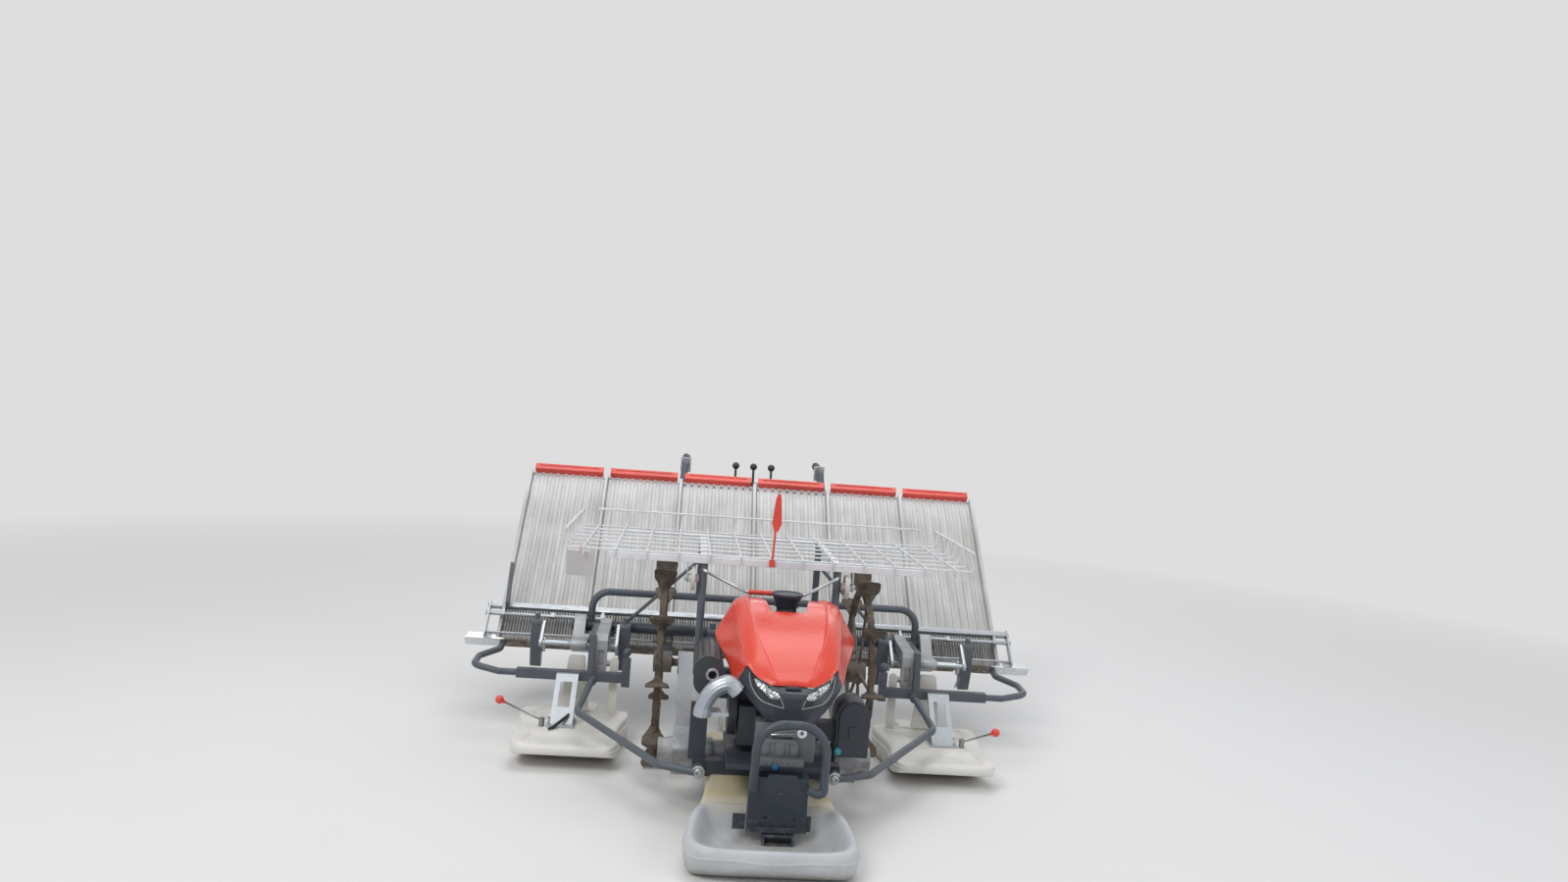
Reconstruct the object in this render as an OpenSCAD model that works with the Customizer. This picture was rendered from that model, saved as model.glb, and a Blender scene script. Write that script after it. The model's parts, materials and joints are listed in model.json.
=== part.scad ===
// Walk-behind rice transplanter for six rows.
// +Z is up, the machine travels towards -Y, and the origin is on the ground
// under the middle of its overall box. Left and right are the operator's.

/* [Planting] */
// Distance between two planted rows
row_pitch = 300; // [285:1:305]
// Slope of the seedling tray above the horizontal
tray_slope = 42.6; // [40:0.1:45]
// Length of the seedling tray along its slope
tray_len = 830; // [780:1:860]
// Travel of the seedling tray to each side of its middle
tray_travel = 140; // [100:1:145]
// Thickness of the tray's moulded floor
tray_wall = 6; // [4:0.5:8]
// Height of the dividers between two seedling channels
divider_h = 24; // [18:1:28]
// Width of a divider between two seedling channels
divider_w = 12; // [8:1:16]
// Number of ribs along each seedling channel
ribs_per_row = 10; // [6:1:12]

/* [Wheels] */
// Wheel diameter over the lugs
wheel_d = 660; // [640:1:665]
// Distance between the two wheels' middles
wheel_track = 640; // [630:1:650]
// Number of lugs on each wheel
lug_count = 10; // [8:2:12]
// Width of a lug across the wheel
lug_w = 80; // [60:1:84]
// Thickness of a lug's blade
lug_t = 14; // [10:1:18]
// Height of a lug from the wheel's rim to its edge
lug_h = 58; // [50:1:70]
// Distance from the swing pivot to the wheel's axle
arm_len = 435; // [432:1:437]

/* [Floats] */
// Height of the middle float's body
float_mid_h = 118; // [90:1:118]
// Height of the side floats
float_side_h = 84; // [70:1:95]
// Distance from the middle to a side float's middle
float_side_x = 600; // [595:1:605]

/* [Frame] */
// Radius of the planting unit's cross pipe
cross_r = 19; // [17:1:22]
// Radius of the handle pipes
pipe_r = 14; // [12:1:15]
// Radius of the hoop pipe
hoop_r = 12.5; // [10:0.5:14]
// Radius of the rack's post pipes
post_r = 12; // [10:0.5:14]
// Radius of the bumper pipes
bumper_r = 11; // [9:0.5:14]
// Radius of the front guard's pipe
guard_r = 11.5; // [10:0.5:14]
// Radius of the slanting struts
strut_r = 6; // [5:0.5:8]
// Side of the square tubes in front of the planting unit
side_tube = 30; // [24:1:32]
// Half the distance between the two handles
handle_x = 300; // [297:1:303]
// Height of the hand grips
grip_z = 892.5; // [860:0.5:892.5]

/* [Engine] */
// How far the engine sits to the left of the middle
engine_x = 35; // [25:1:40]
// Width of the bonnet
bonnet_w = 388; // [370:1:392]
// Thickness of the bonnet's shell
bonnet_wall = 4; // [3:0.5:6]

/* [Spare rack] */
// Half the length of the rack's floor
rack_half = 626; // [560:1:640]
// Height of the rack's floor above the ground
rack_z = 676; // [670:1:690]
// Radius of the rack's wires
wire_r = 3; // [2:0.5:3.5]

/* [Hidden] */
$fn = 48;

// Gap left between two pieces that are bolted or welded together
seat = 0.3;
// Radial clearance of a turning pin
run = 0.05;

// Front and rear ends of the whole machine
front_y = -1185;
rear_y = 1185;

// Swing pivot of the wheel arms
pivot_y = -640;
pivot_z = 160;
pivot_r = 28;
wheel_r = wheel_d / 2;
rim_r = wheel_r - lug_h;
half_lug = 180 / lug_count;
lug_round = 15;
// The wheel stands on the edges of its two lowest lugs
axle_z = wheel_r * cos(half_lug) + lug_t / 2 * sin(half_lug);
arm_angle = asin((axle_z - pivot_z) / arm_len);
axle_y = pivot_y + arm_len * cos(arm_angle);
axle_r = 15;
arm_in = 215;
arm_out = 259;
wheel_x = wheel_track / 2;

// The tray's lower end, where its floor meets the slide rail
tray_y = 206;
tray_z = 248;
tray_half = 3 * row_pitch;
rail_half = 1012;
lip_t = 6;
lip_h = divider_h + 8;

// Planting mechanism
cross_y = 145;
cross_z = 340;
crank_y = 90;
crank_z = 285;
rocker_y = 10;
rocker_z = 300;
case_half = 28;
arm_half = 18;
arm_top = [75, 352];
arm_low = [100, 215];
crank_pin = [90.6, 265];

// Frame in front of the planting unit
side_y = -60;
side_z = 213;
link_x = 550;
hoop_x = 573;
hoop_z = 462;
spine_w = 60;
spine_z = [290, 340];

// Slanting struts between the rack's rear posts and the side frames
strut_y = 112;
strut_z = 596;
lug_z = 274;

// Rack
rack_front = -400;
rack_rear = 197;
post_x = 205;
strip_t = 8;
wire_z = rack_z + strip_t + seat + wire_r;
cross_wire_z = wire_z + 2 * wire_r + seat;
rack_rim_z = rack_z + 69;
cross_wires = 13;
long_wires = 7;
cross_wire_pitch = 95;

// Engine group
bed_z = 205;
bed_t = 12;

function unit(v) = v / norm(v);
function side(s, p) = [s * p.x, p.y, p.z];

// A round bar between two points
module rod(a, b, r) {
    d = b - a;
    translate(a) rotate([0, acos(d.z / norm(d)), atan2(d.y, d.x)]) cylinder(r = r, h = norm(d));
}

// A bend that leaves along u at the corner p and arrives along v, a hair thicker than its pipe
module elbow(p, u, v, r, bend) {
    turn = acos(u * v);
    n = unit(v - (v * u) * u);
    c = p - u * bend * tan(turn / 2) + n * bend;
    z = cross(u, n);
    multmatrix([
        [-n.x, u.x, z.x, c.x],
        [-n.y, u.y, z.y, c.y],
        [-n.z, u.z, z.z, c.z],
        [0, 0, 0, 1]
    ]) rotate_extrude(angle = turn) translate([bend, 0]) circle(r = r + 0.05);
}

// A round pipe through the points p, with a bend at each inner one
module pipe(p, r, bend) {
    last = len(p) - 1;
    cut = [for (i = [0 : last])
        i == 0 || i == last ? 0 : bend * tan(acos(unit(p[i] - p[i - 1]) * unit(p[i + 1] - p[i])) / 2) - 0.5];
    for (i = [0 : last - 1]) {
        u = unit(p[i + 1] - p[i]);
        rod(p[i] + u * cut[i], p[i + 1] - u * cut[i + 1], r);
    }
    for (i = [1 : last - 1]) elbow(p[i], unit(p[i] - p[i - 1]), unit(p[i + 1] - p[i]), r, bend);
}

// A box given by two opposite corners
module block(a, b) {
    low = [for (i = [0 : 2]) min(a[i], b[i])];
    translate(low) cube([for (i = [0 : 2]) abs(b[i] - a[i])]);
}

// A flat outline in the Y-Z plane, drawn as [y, z], thickened from x0 to x1
module plate_yz(x0, x1) {
    translate([x0, 0, 0]) rotate([90, 0, 90]) linear_extrude(x1 - x0) children();
}

// A flat outline in the X-Z plane, drawn as [x, z], thickened from y0 to y1
module plate_xz(y0, y1) {
    translate([0, y1, 0]) rotate([90, 0, 0]) linear_extrude(y1 - y0) children();
}

// Two circles joined by straight sides that run a hair inside their outer tangents
module link_2d(a, r1, b, r2) {
    ra = r1 - 0.1;
    rb = r2 - 0.1;
    d = b - a;
    lean = acos((ra - rb) / norm(d));
    base = atan2(d.y, d.x);
    translate(a) circle(r = r1);
    translate(b) circle(r = r2);
    polygon([
        a + ra * [cos(base + lean), sin(base + lean)],
        a + ra * [cos(base - lean), sin(base - lean)],
        b + rb * [cos(base - lean), sin(base - lean)],
        b + rb * [cos(base + lean), sin(base + lean)]
    ]);
}

// A thin slice across the length with rounded edges, for a chain of hulls
module slice(x, y, half, low, high, r) {
    for (sx = [-1, 1], z = [low + r, high - r])
        translate([x + sx * (half - r), y, z]) rotate([90, 0, 0]) cylinder(r = r, h = 0.1, $fn = 20);
}

// Skin through a table of slices: columns are y, half width, low z, high z, edge radius
module slice_chain(x, table) {
    for (i = [0 : len(table) - 2]) hull() {
        slice(x, table[i][0], table[i][1], table[i][2], table[i][3], table[i][4]);
        slice(x, table[i + 1][0], table[i + 1][1], table[i + 1][2], table[i + 1][3], table[i + 1][4]);
    }
}

// Points of a slice with rounded corners, turning from the right-hand side upwards
function slice_points(half, low, high, r) = [
    for (c = [[1, 1, 0], [-1, 1, 90], [-1, -1, 180], [1, -1, 270]], i = [0 : 3])
    let (a = c[2] + i * 30, top = c[1] > 0 ? high - r : low + r)
    [c[0] * (half - r) + r * cos(a), top + r * sin(a)]];

// Closed skin through rings of points that all turn the same way
module skin(rings) {
    n = len(rings[0]);
    last = len(rings) - 1;
    polyhedron(
        points = [for (ring = rings) each ring],
        faces = concat(
            [[for (j = [n - 1 : -1 : 0]) j]],
            [for (i = [0 : last - 1], j = [0 : n - 1], h = [0, 1])
                let (a = i * n + j, b = i * n + (j + 1) % n)
                h == 0 ? [a, b, b + n] : [a, b + n, a + n]],
            [[for (j = [0 : n - 1]) last * n + j]]
        )
    );
}

// Closed skin through a table of slices, with the same columns as slice_chain
module loft(x, table) {
    skin([for (t = table) [for (p = slice_points(t[1], t[2], t[3], t[4])) [x + p.x, t[0], p.y]]]);
}

// A half outline in X and Z, from its lower right end upwards, closed by its mirror image
function mirror_ring(x, y, half) = concat(
    [for (p = half) [x + p[0], y, p[1]]],
    [for (i = [len(half) - 1 : -1 : 0]) if (half[i][0] > 0) [x - half[i][0], y, half[i][1]]]
);

// A bolt head on a washer, standing on a face at p and pointing along v
module bolt(p, v, r) {
    translate(p) rotate([0, acos(v.z), atan2(v.y, v.x)]) {
        cylinder(r = 1.25 * r, h = 0.3 * r);
        cylinder(r = r, h = r, $fn = 6);
    }
}

// Puts its children in the tray's own frame: y runs up the slope, z stands on its floor
module on_tray() {
    translate([0, tray_y, tray_z]) rotate([tray_slope, 0, 0]) children();
}

// Place of a point of the tray's own frame, as [y, z]
function tray_point(v, w) = [
    tray_y + v * cos(tray_slope) - w * sin(tray_slope),
    tray_z + v * sin(tray_slope) + w * cos(tray_slope)
];

module cross_pipe_solid(grow) {
    translate([-640, cross_y, cross_z]) rotate([0, 90, 0]) cylinder(r = cross_r + grow, h = 1280);
}

module transmission() {
    color("silver") difference() {
        union() {
            block([-75, -720, 125], [75, -460, bed_z]);
            block([-70, -620, bed_z], [70, -460, 300]);
            translate([-150, pivot_y, pivot_z]) rotate([0, 90, 0]) cylinder(r = 34, h = 300);
            for (s = [-1, 1]) {
                // Journals that the wheel arms turn on, behind their collars
                translate([s * 202, pivot_y, pivot_z]) rotate([0, 90, 0])
                    cylinder(r = pivot_r, h = 104, center = true);
                translate([s * 173, pivot_y, pivot_z]) rotate([0, 90, 0])
                    cylinder(r = 40, h = 46, center = true);
            }
        }
        for (x = [-50, 0, 50]) translate([x, -540, 290]) cylinder(r = 4, h = 20);
    }
}

module front_frame() {
    color("dimgray") {
        block([-205, -762, 128], [205, -720 - seat, 172]);
        for (s = [-1, 1]) block([s * 100 - 20, -756, 172], [s * 100 + 20, -728, bed_z]);
        block([-120, -930, bed_z], [150, -622, bed_z + bed_t]);
        difference() {
            block([-219, -752, 172], [-171, -744, 330]);
            translate([-195, -740, 300]) rotate([90, 0, 0]) cylinder(r = 7, h = 20);
        }
    }
}

module spine() {
    low = spine_z[0] - 35;
    high = spine_z[0] + 35;
    color("#3c4044") difference() {
        union() {
            block([-36, -460 + seat, low], [36, -26, high]);
            // Cheeks that reach past the middle planting case to the cross pipe
            for (s = [-1, 1]) block([s * (case_half + seat), -60, 312], [s * 36, cross_y, cross_z + 12]);
        }
        block([-31, -470, low + 5], [31, -25, high - 5]);
        block([-case_half - seat, -61, low], [case_half + seat, cross_y + 1, cross_z + 20]);
        cross_pipe_solid(seat);
    }
}

module main_frame() {
    front_frame();
    spine();
}

module engine() {
    low = bed_z + bed_t + seat;
    face = -900;
    x = engine_x - 15;
    color("silver") {
        difference() {
            union() {
                block([engine_x - 80, -880, low], [engine_x + 80, -640, 320]);
                // Crankcase cover with rounded corners
                plate_xz(face, -880) {
                    for (s = [-1, 1], z = [245, 266]) translate([x + s * 32, z]) circle(r = 16);
                    translate([x - 48, 245]) square([96, 21]);
                    translate([x - 32, 229]) square([64, 53]);
                }
            }
            for (s = [-1, 1]) block([engine_x + s * 80 - 6, -860, 240], [engine_x + s * 80 + 6, -700, 246]);
            for (s = [-1, 1]) block([x + s * 20 - 9, face - 1, 240], [x + s * 20 + 9, face + 5, 272]);
        }
        for (s = [-1, 1], z = [245, 266]) bolt([x + s * 38, face, z], [0, -1, 0], 4);
        // Cylinder barrel with its cooling fins
        for (i = [0 : 6]) block([engine_x - 62, -868, 320 + i * 11], [engine_x + 62, -730, 320 + i * 11 + 4]);
        block([engine_x - 48, -850, 320], [engine_x + 48, -748, 396]);
        // Mounting bar across the front, with its lugs and bolts
        block([x - 56, -926, low], [x + 64, -908, low + 20]);
        for (s = [-36, 40]) block([x + s - 8, -908, low], [x + s + 8, -878, low + 14]);
        for (s = [-42, -12, 30, 54]) bolt([x + s, -926, low + 10], [0, -1, 0], 5);
        // Speed lever on its pin
        plate_xz(face - 14, face - 10) difference() {
            link_2d([x - 26, 299], 5, [x + 54, 305], 12);
            translate([x + 54, 305]) circle(r = 5);
        }
        rod([x - 26, face - 12, 299], [x - 26, -879, 299], 4);
    }
}

module engine_cowl() {
    color("#2b2d30") difference() {
        union() {
            block([engine_x - 125, -830, 240], [engine_x - 80 - seat, -650, 345]);
            block([engine_x - 125, -768, 345], [engine_x - 80 - seat, -650, 400]);
            translate([engine_x - 130, -750, 320]) rotate([0, -90, 0]) cylinder(r = 72, h = 24);
        }
        for (a = [0 : 30 : 330]) translate([engine_x - 150, -750, 320]) rotate([a, 0, 0])
            translate([-20, 0, 48]) rotate([0, 90, 0]) cylinder(r = 6, h = 12);
    }
}

module air_cleaner() {
    x0 = 178;
    x1 = 270;
    mid = (x0 + x1) / 2;
    color("#202326") {
        difference() {
            union() {
                block([x0, -812, 215], [x1, -715, 325]);
                translate([mid, -715, 325]) rotate([90, 0, 0]) cylinder(r = mid - x0, h = 97);
                // Cover with a raised rim and its clip
                translate([mid, -808, 325]) rotate([90, 0, 0]) cylinder(r = mid - x0 - 8, h = 12);
                block([x0 + 8, -820, 223], [x1 - 8, -812, 325]);
                block([mid - 10, -826, 268], [mid + 10, -820, 300]);
            }
            block([x0 - 1, -795, 214], [x1 + 1, -792, 372]);
        }
        block([x0 + 1, -796, 216], [x1 - 1, -791, 325]);
        block([engine_x + 80 + seat, -790, 250], [x0, -740, 300]);
    }
}

module muffler() {
    x = -176;
    rows = 5;
    slots = 8;
    color("#26282b") {
        difference() {
            union() {
                for (z = [384, 412]) translate([x, -480, z]) rotate([90, 0, 0]) cylinder(r = 42, h = 258);
                block([x - 42, -738, 384], [x + 42, -480, 412]);
                // Outlet ring on the flat front
                translate([x + 10, -737, 405]) rotate([90, 0, 0]) cylinder(r = 17, h = 9);
                for (y = [-732, -488]) translate([x, y, 412]) rotate([90, 0, 0]) cylinder(r = 43.5, h = 6);
            }
            translate([x + 10, -720, 405]) rotate([90, 0, 0]) cylinder(r = 11, h = 30);
            // Slots of the guard over the hot shell
            for (i = [0 : rows - 1], j = [0 : slots - 1])
                translate([x, -712 + j * 28, 412]) rotate([0, (i - (rows - 1) / 2) * 26, 0])
                translate([-3, 0, 39.5]) cube([6, 18, 4]);
        }
        // Bracket down to the engine's cowl
        block([x + 10, -700, 330], [engine_x - 154 - seat, -680, 352]);
        block([x + 10, -700, 352], [x + 34, -680, 380]);
    }
}

// Air duct that bends down from behind the mask
module exhaust_shield() {
    y = -850;
    bends = [[-101, y, 394], [-122, y, 412], [-160, y, 396], [-189, y, 352], [-191, y, 318]];
    color("silver") {
        pipe(bends, 19, 20);
        for (k = [[1, 0.55], [2, 0.3], [2, 0.55], [2, 0.8]]) {
            a = bends[k[0]];
            b = bends[k[0] + 1];
            rod(a + (b - a) * k[1], a + (b - a) * (k[1] + 0.07), 21);
        }
        block([-190, y - 6, 322], [engine_x - 154 - seat, y + 45, 332]);
    }
}

module fuel_tank() {
    color("#3a3d40") {
        block([nose_x - 120, -640, 430], [nose_x + 120, -470, 520]);
        translate([nose_x, -540, 520]) cylinder(r = 30, h = 50);
        // Tray round the neck that closes the bonnet's recess
        difference() {
            translate([nose_x, 0, 538]) linear_extrude(6)
                polygon([[-60, -616], [60, -616], [76, -486], [-76, -486]]);
            for (x = [-40, 40], y = [-600, -500]) translate([nose_x + x, y, 530]) cylinder(r = 3, h = 20);
        }
        for (s = [-1, 1]) {
            block([nose_x + s * 60 - 12, -560, 300], [nose_x + s * 60 + 12, -540, 430]);
            block([nose_x + s * 90 - 6, -580, 520], [nose_x + s * 90 + 6, -540, 524]);
        }
    }
}

module fuel_cap() {
    grips = 18;
    color("#17181a") translate([nose_x, -540, 570 + seat]) difference() {
        union() {
            cylinder(r = 35, h = 12);
            translate([0, 0, 12]) cylinder(r1 = 35, r2 = 44, h = 20);
            translate([0, 0, 32]) cylinder(r = 46, h = 8);
        }
        // Finger grooves round the rim and a dished top
        for (i = [0 : grips - 1])
            rotate([0, 0, i * 360 / grips]) translate([47.5, 0, 30]) cylinder(r = 3, h = 14);
        translate([0, 0, 38]) cylinder(r = 38, h = 4);
    }
}

// Middle of the bonnet, the mask and the filler cap
nose_x = engine_x + 8;

// Bonnet stations: y, crease x and z, shoulder x and z, edge x and z, top z in the middle
bonnet_table = [
    [-905, 34, 434, 48, 431, 58, 425, 435],
    [-880, 50, 453, 80, 448, 95, 440, 453],
    [-850, 58, 477, 102, 473, 119, 462, 476],
    [-820, 64, 497, 117, 488, 131, 433, 495],
    [-790, 69, 514, 128, 500, 142, 404, 511],
    [-700, 78, 552, 150, 530, 166, 434, 548],
    [-600, 86, 580, bonnet_w / 2 - 18, 548, bonnet_w / 2, 470, 574],
    [-540, 88, 589, bonnet_w / 2 - 17, 556, bonnet_w / 2 - 1, 475, 584],
    [-480, 84, 586, bonnet_w / 2 - 32, 554, bonnet_w / 2 - 16, 479, 581]
];

// Half outline of the bonnet at a station, pulled in by a wall w
function bonnet_half(t, w) = let (k = min(1, t[3] / 150), c = min(k, (t[4] - t[6]) / 40)) [
    [0, w > 0 ? 300 : t[6]],
    [t[5] - w, w > 0 ? 300 : t[6]],
    [t[5] - w, w > 0 ? 330 : t[6] + 1],
    [(t[5] + t[3]) / 2 + 5 * c - w, (t[6] + t[4]) / 2 - w],
    [t[3] + 4 * c - w, t[4] - 9 * c - w],
    [t[3] - 2 * c - w, t[4] - w],
    [t[3] - 14 * k - w, t[4] + 0.35 * (t[2] - t[4]) + 2 * k - w],
    [t[1] + 7 * k, t[2] + 1.5 * k - w],
    [t[1] - 2 * k, t[2] - 2.5 * k - w],
    [t[1] / 2, (t[2] + t[7]) / 2 - k - w],
    [0, t[7] - w]
];

// Stations of the bonnet's inside, which runs on past its open rear
bonnet_last = len(bonnet_table) - 1;
bonnet_inside = [for (i = [0 : bonnet_last]) i < bonnet_last ? bonnet_table[i]
    : bonnet_table[i] + (bonnet_table[i] - bonnet_table[i - 1]) * 0.6];

module bonnet_solid(table, w) {
    skin([for (i = [0 : bonnet_last]) let (t = table[i])
        mirror_ring(nose_x, t[0] + (i == 0 ? w : 0), bonnet_half(t, w))]);
}

// Hinge line of the bonnet, along its front lower edge
hinge_y = -909;
hinge_z = 420;
hinge_pin = 3;
hinge_half = 15;
ear_half = hinge_half + 6;

module hinge_bar(x0, x1, r) {
    translate([x0, hinge_y, hinge_z]) rotate([0, 90, 0]) cylinder(r = r, h = x1 - x0);
}

module bonnet() {
    color("#e8321e") difference() {
        bonnet_solid(bonnet_table, 0);
        bonnet_solid(bonnet_inside, bonnet_wall);
        // Recess round the filler cap, open to the rear
        translate([nose_x, 0, 500]) linear_extrude(200)
            polygon([[-50, -622], [50, -622], [74, -470], [-74, -470]]);
    }
}

// Knuckle of the bonnet's hinge, on a tab at its front edge
module bonnet_hinges() {
    color("#e8321e") difference() {
        union() {
            hinge_bar(nose_x - hinge_half, nose_x + hinge_half, 6);
            block([nose_x - hinge_half, hinge_y, hinge_z],
                [nose_x + hinge_half, bonnet_table[0][0] + 8, 424.7]);
        }
        hinge_bar(nose_x - 30, nose_x + 30, hinge_pin + run);
    }
}

module bonnet_pins() {
    color("#2f3134") {
        hinge_bar(nose_x - ear_half, nose_x + ear_half, hinge_pin);
        for (e = [-1, 1]) block([nose_x + e * (hinge_half + 1), hinge_y - 5, 402],
            [nose_x + e * ear_half, hinge_y + 5, hinge_z + 4]);
    }
}

// Mask stations: y, top x and z, middle x and z, low x and z
mask_table = [
    [-938, 18, 402, 26, 374, 12, 342],
    [-930, 32, 411, 52, 380, 30, 331],
    [-916, 46, 418, 80, 386, 48, 329],
    [-905, 59, 424.7, 96, 392, 64, 332],
    [-880, 96, 439.7, 112, 400, 86, 345],
    [-850, 120, 461.7, 130, 414, 108, 366],
    [-820, 132, 432.7, 139, 414, 124, 384],
    [-790, 143, 403.7, 143, 399, 136, 391]
];

function mask_half(t, w) = [
    [t[5] - w, w > 0 ? 300 : t[6]],
    [(t[3] + t[5]) / 2 + 4 - w, (t[4] + t[6]) / 2 - 3],
    [t[3] - w, t[4]],
    [(t[1] + t[3]) / 2 + 3 - w, (t[2] + t[4]) / 2 + 2],
    [t[1] - w, w > 0 ? t[2] + 40 : t[2]],
    [0, w > 0 ? t[2] + 40 : t[2]]
];

module mask_solid(w) {
    rings = w > 0 ? [for (t = mask_table) if (t[0] > -925) t] : mask_table;
    skin([for (i = [0 : len(rings) - 1]) let (t = rings[i])
        mirror_ring(nose_x, t[0] + (w > 0 ? (t[0] < -900 ? w + 2 : t[0] > -800 ? 2 : 0) : 0),
            mask_half(t, w))]);
}

// Lamp windows seen from the front: distance from the nose's middle, and z
lens_outline = [[40, 411], [60, 419], [95, 433], [113, 450], [99, 421], [58, 395], [33, 398]];

module lamp_prism(grow) {
    for (s = [-1, 1]) translate([nose_x, -800, 0]) rotate([90, 0, 0]) linear_extrude(160)
        offset(delta = grow) polygon([for (p = lens_outline) [s * p[0], p[1]]]);
}

module nose_mask() {
    color("#2f3134") difference() {
        mask_solid(0);
        mask_solid(6);
        lamp_prism(seat);
        // Pocket of the bonnet's hinge
        block([nose_x - ear_half - seat, hinge_y - 12, 401.7], [nose_x + ear_half + seat, -880, 440]);
    }
}

module headlamps() {
    color("#d9dde0") difference() {
        intersection() {
            mask_solid(0);
            lamp_prism(0);
        }
        mask_solid(6);
    }
}

module front_guard() {
    y = -972 - seat - guard_r;
    half = 91;
    top = 345;
    foot = 172;
    color("#3c4044") {
        pipe([[nose_x - half, y, foot], [nose_x - half, y, top],
            [nose_x + half, y, top], [nose_x + half, y, foot]], guard_r, 74);
        // Left foot turned in to the cover plate
        pipe([[nose_x + half, y, foot + 30], [nose_x + half, y, foot - 12],
            [nose_x + half - 42, y, foot + 8]], guard_r, 14);
    }
}

module front_cover() {
    x = engine_x - 16;
    top = 200;
    color("#34373b") {
        difference() {
            plate_xz(-972, -962) polygon([[x - 78, 58], [x + 78, 58], [x + 76, top], [x + 47, top],
                [x + 44, top + 8], [x - 28, top + 8], [x - 31, top], [x - 76, top]]);
            for (s = [-1, 1]) translate([x - 11.5 + s * 18.5, -960, 127.5 + s * 30.5]) rotate([90, 0, 0])
                cylinder(r = 5.5, h = 14);
            block([x + 44, -973, 90], [x + 48, -961, 101]);
        }
        // Bent lip over the foot box, and the box that hangs below it
        block([x - 54, -984, 62], [x + 53, -972, 66]);
        block([x - 54, -984, 66], [x + 53, -980, 76]);
        difference() {
            block([x - 36, -990, 30 + seat], [x + 46, -962, 58]);
            block([x - 30, -991, 35], [x + 40, -968, 52]);
        }
        // Stepped wings and the legs up to the engine bed
        for (s = [-1, 1]) {
            block([x + s * 78 - 3, -966, 62], [x + s * (s < 0 ? 114 : 90), -962, 102]);
            block([x + s * 70 - 7, -962, 66], [x + s * 70 + 7, -930, 204]);
        }
    }
}

// Middle float slices: columns are y, half width, low z, high z, edge radius
module float_middle() {
    color("#d8d8d0") union() difference() {
        slice_chain(0, [
            [front_y + 0.1, 150, 45, 80, 12],
            [-1165, 196, 22, 86, 16],
            [-1120, 220, 8, 88, 16],
            [-1060, 221, 0, 88, 16],
            [-980, 208, 0, 88, 14],
            [-900, 185, 0, 88, 12],
            [-850, 168, 0, float_mid_h, 12],
            [-300, 160, 0, float_mid_h, 12],
            [-180, 150, 0, 70, 12],
            [-110, 108, 0, 66, 12],
            [200, 100, 0, 60, 12],
            [260, 90, 14, 54, 12]
        ]);
        slice_chain(0, [
            [-1155, 120, 52, 130, 18],
            [-1110, 182, 34, 130, 18],
            [-1000, 178, 30, 130, 18],
            [-900, 152, 30, 130, 18]
        ]);
    }
}

module float_sides() {
    body = [
        [-409, 135, 38, float_side_h - 12, 12],
        [-392, 156, 22, float_side_h - 4, 14],
        [-350, 164, 6, float_side_h, 16],
        [-300, 163, 0, float_side_h, 16],
        [-250, 152, 0, float_side_h, 16],
        [-140, 163, 0, float_side_h, 16],
        [-60, 176, 0, float_side_h, 16],
        [0, 172, 0, float_side_h, 16],
        [22, 148, 4, float_side_h - 6, 14],
        [45, 76, 6, float_side_h - 14, 12],
        [80, 62, 4, 60, 12],
        [150, 60, 0, 58, 12],
        [200, 50, 14, 52, 12]
    ];
    color("#e6e0cf") for (s = [-1, 1]) {
        loft(s * (float_side_x - 7), body);
        // Flange where the two blown halves meet
        loft(s * (float_side_x - 7), [for (t = body) [t[0], t[1] + 4, 44, 47, 1.4]]);
    }
}

module float_brackets() {
    top = [side_y - side_tube / 2 - seat - 4, side_z - 26];
    low = [-205, float_side_h + 12];
    // Front edge of the cheeks, from the float up to the square tube
    edge = [[low.x - 12, float_side_h + 8], [top.x - 18, side_z + 12]];
    color("#b9c4c8") for (s = [-1, 1]) translate([s * (float_side_x + 20), 0, 0]) {
        block([-44, -238, float_side_h + seat], [44, -165, float_side_h + 8]);
        for (e = [-1, 1]) plate_yz(e * 34 - 2, e * 34 + 2)
            polygon([edge[0], [low.x + 22, float_side_h + 8], [top.x + 4, side_z + 12], edge[1]]);
        plate_yz(-34, 34) polygon([[-90, side_z + 2], [-90, side_z + 12], [top.x + 4, side_z + 12],
            [top.x + 4, side_z + 2]]);
        // Front face with its tall window
        difference() {
            plate_yz(-34, 34) polygon([edge[0], edge[0] + [4, 0], edge[1] + [4, 0], edge[1]]);
            plate_yz(-19, 19) polygon([for (t = [[0.34, -9], [0.34, 9], [0.84, 9], [0.84, -9]])
                edge[0] + t[0] * (edge[1] - edge[0]) + [t[1], 0]]);
        }
        for (e = [-1, 1]) {
            bolt([e * 36, -186, float_side_h + 22], [e, 0, 0], 8);
            bolt([e * 36, -228, float_side_h + 8], [0, 0, 1], 5);
        }
    }
}

module side_markers() {
    for (s = [-1, 1]) {
        foot = [s * (float_side_x + 80), -225, float_side_h + 20];
        tip = [s * (s < 0 ? 812 : 760), s < 0 ? -250 : -330, 170];
        color("silver") {
            rod(foot, tip, 3);
            translate([foot.x, foot.y, float_side_h + seat]) cylinder(r = 9, h = 28);
        }
        color("red") translate(tip) rotate([0, 0, 90]) sphere(r = 13, $fn = 32);
    }
}

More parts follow.
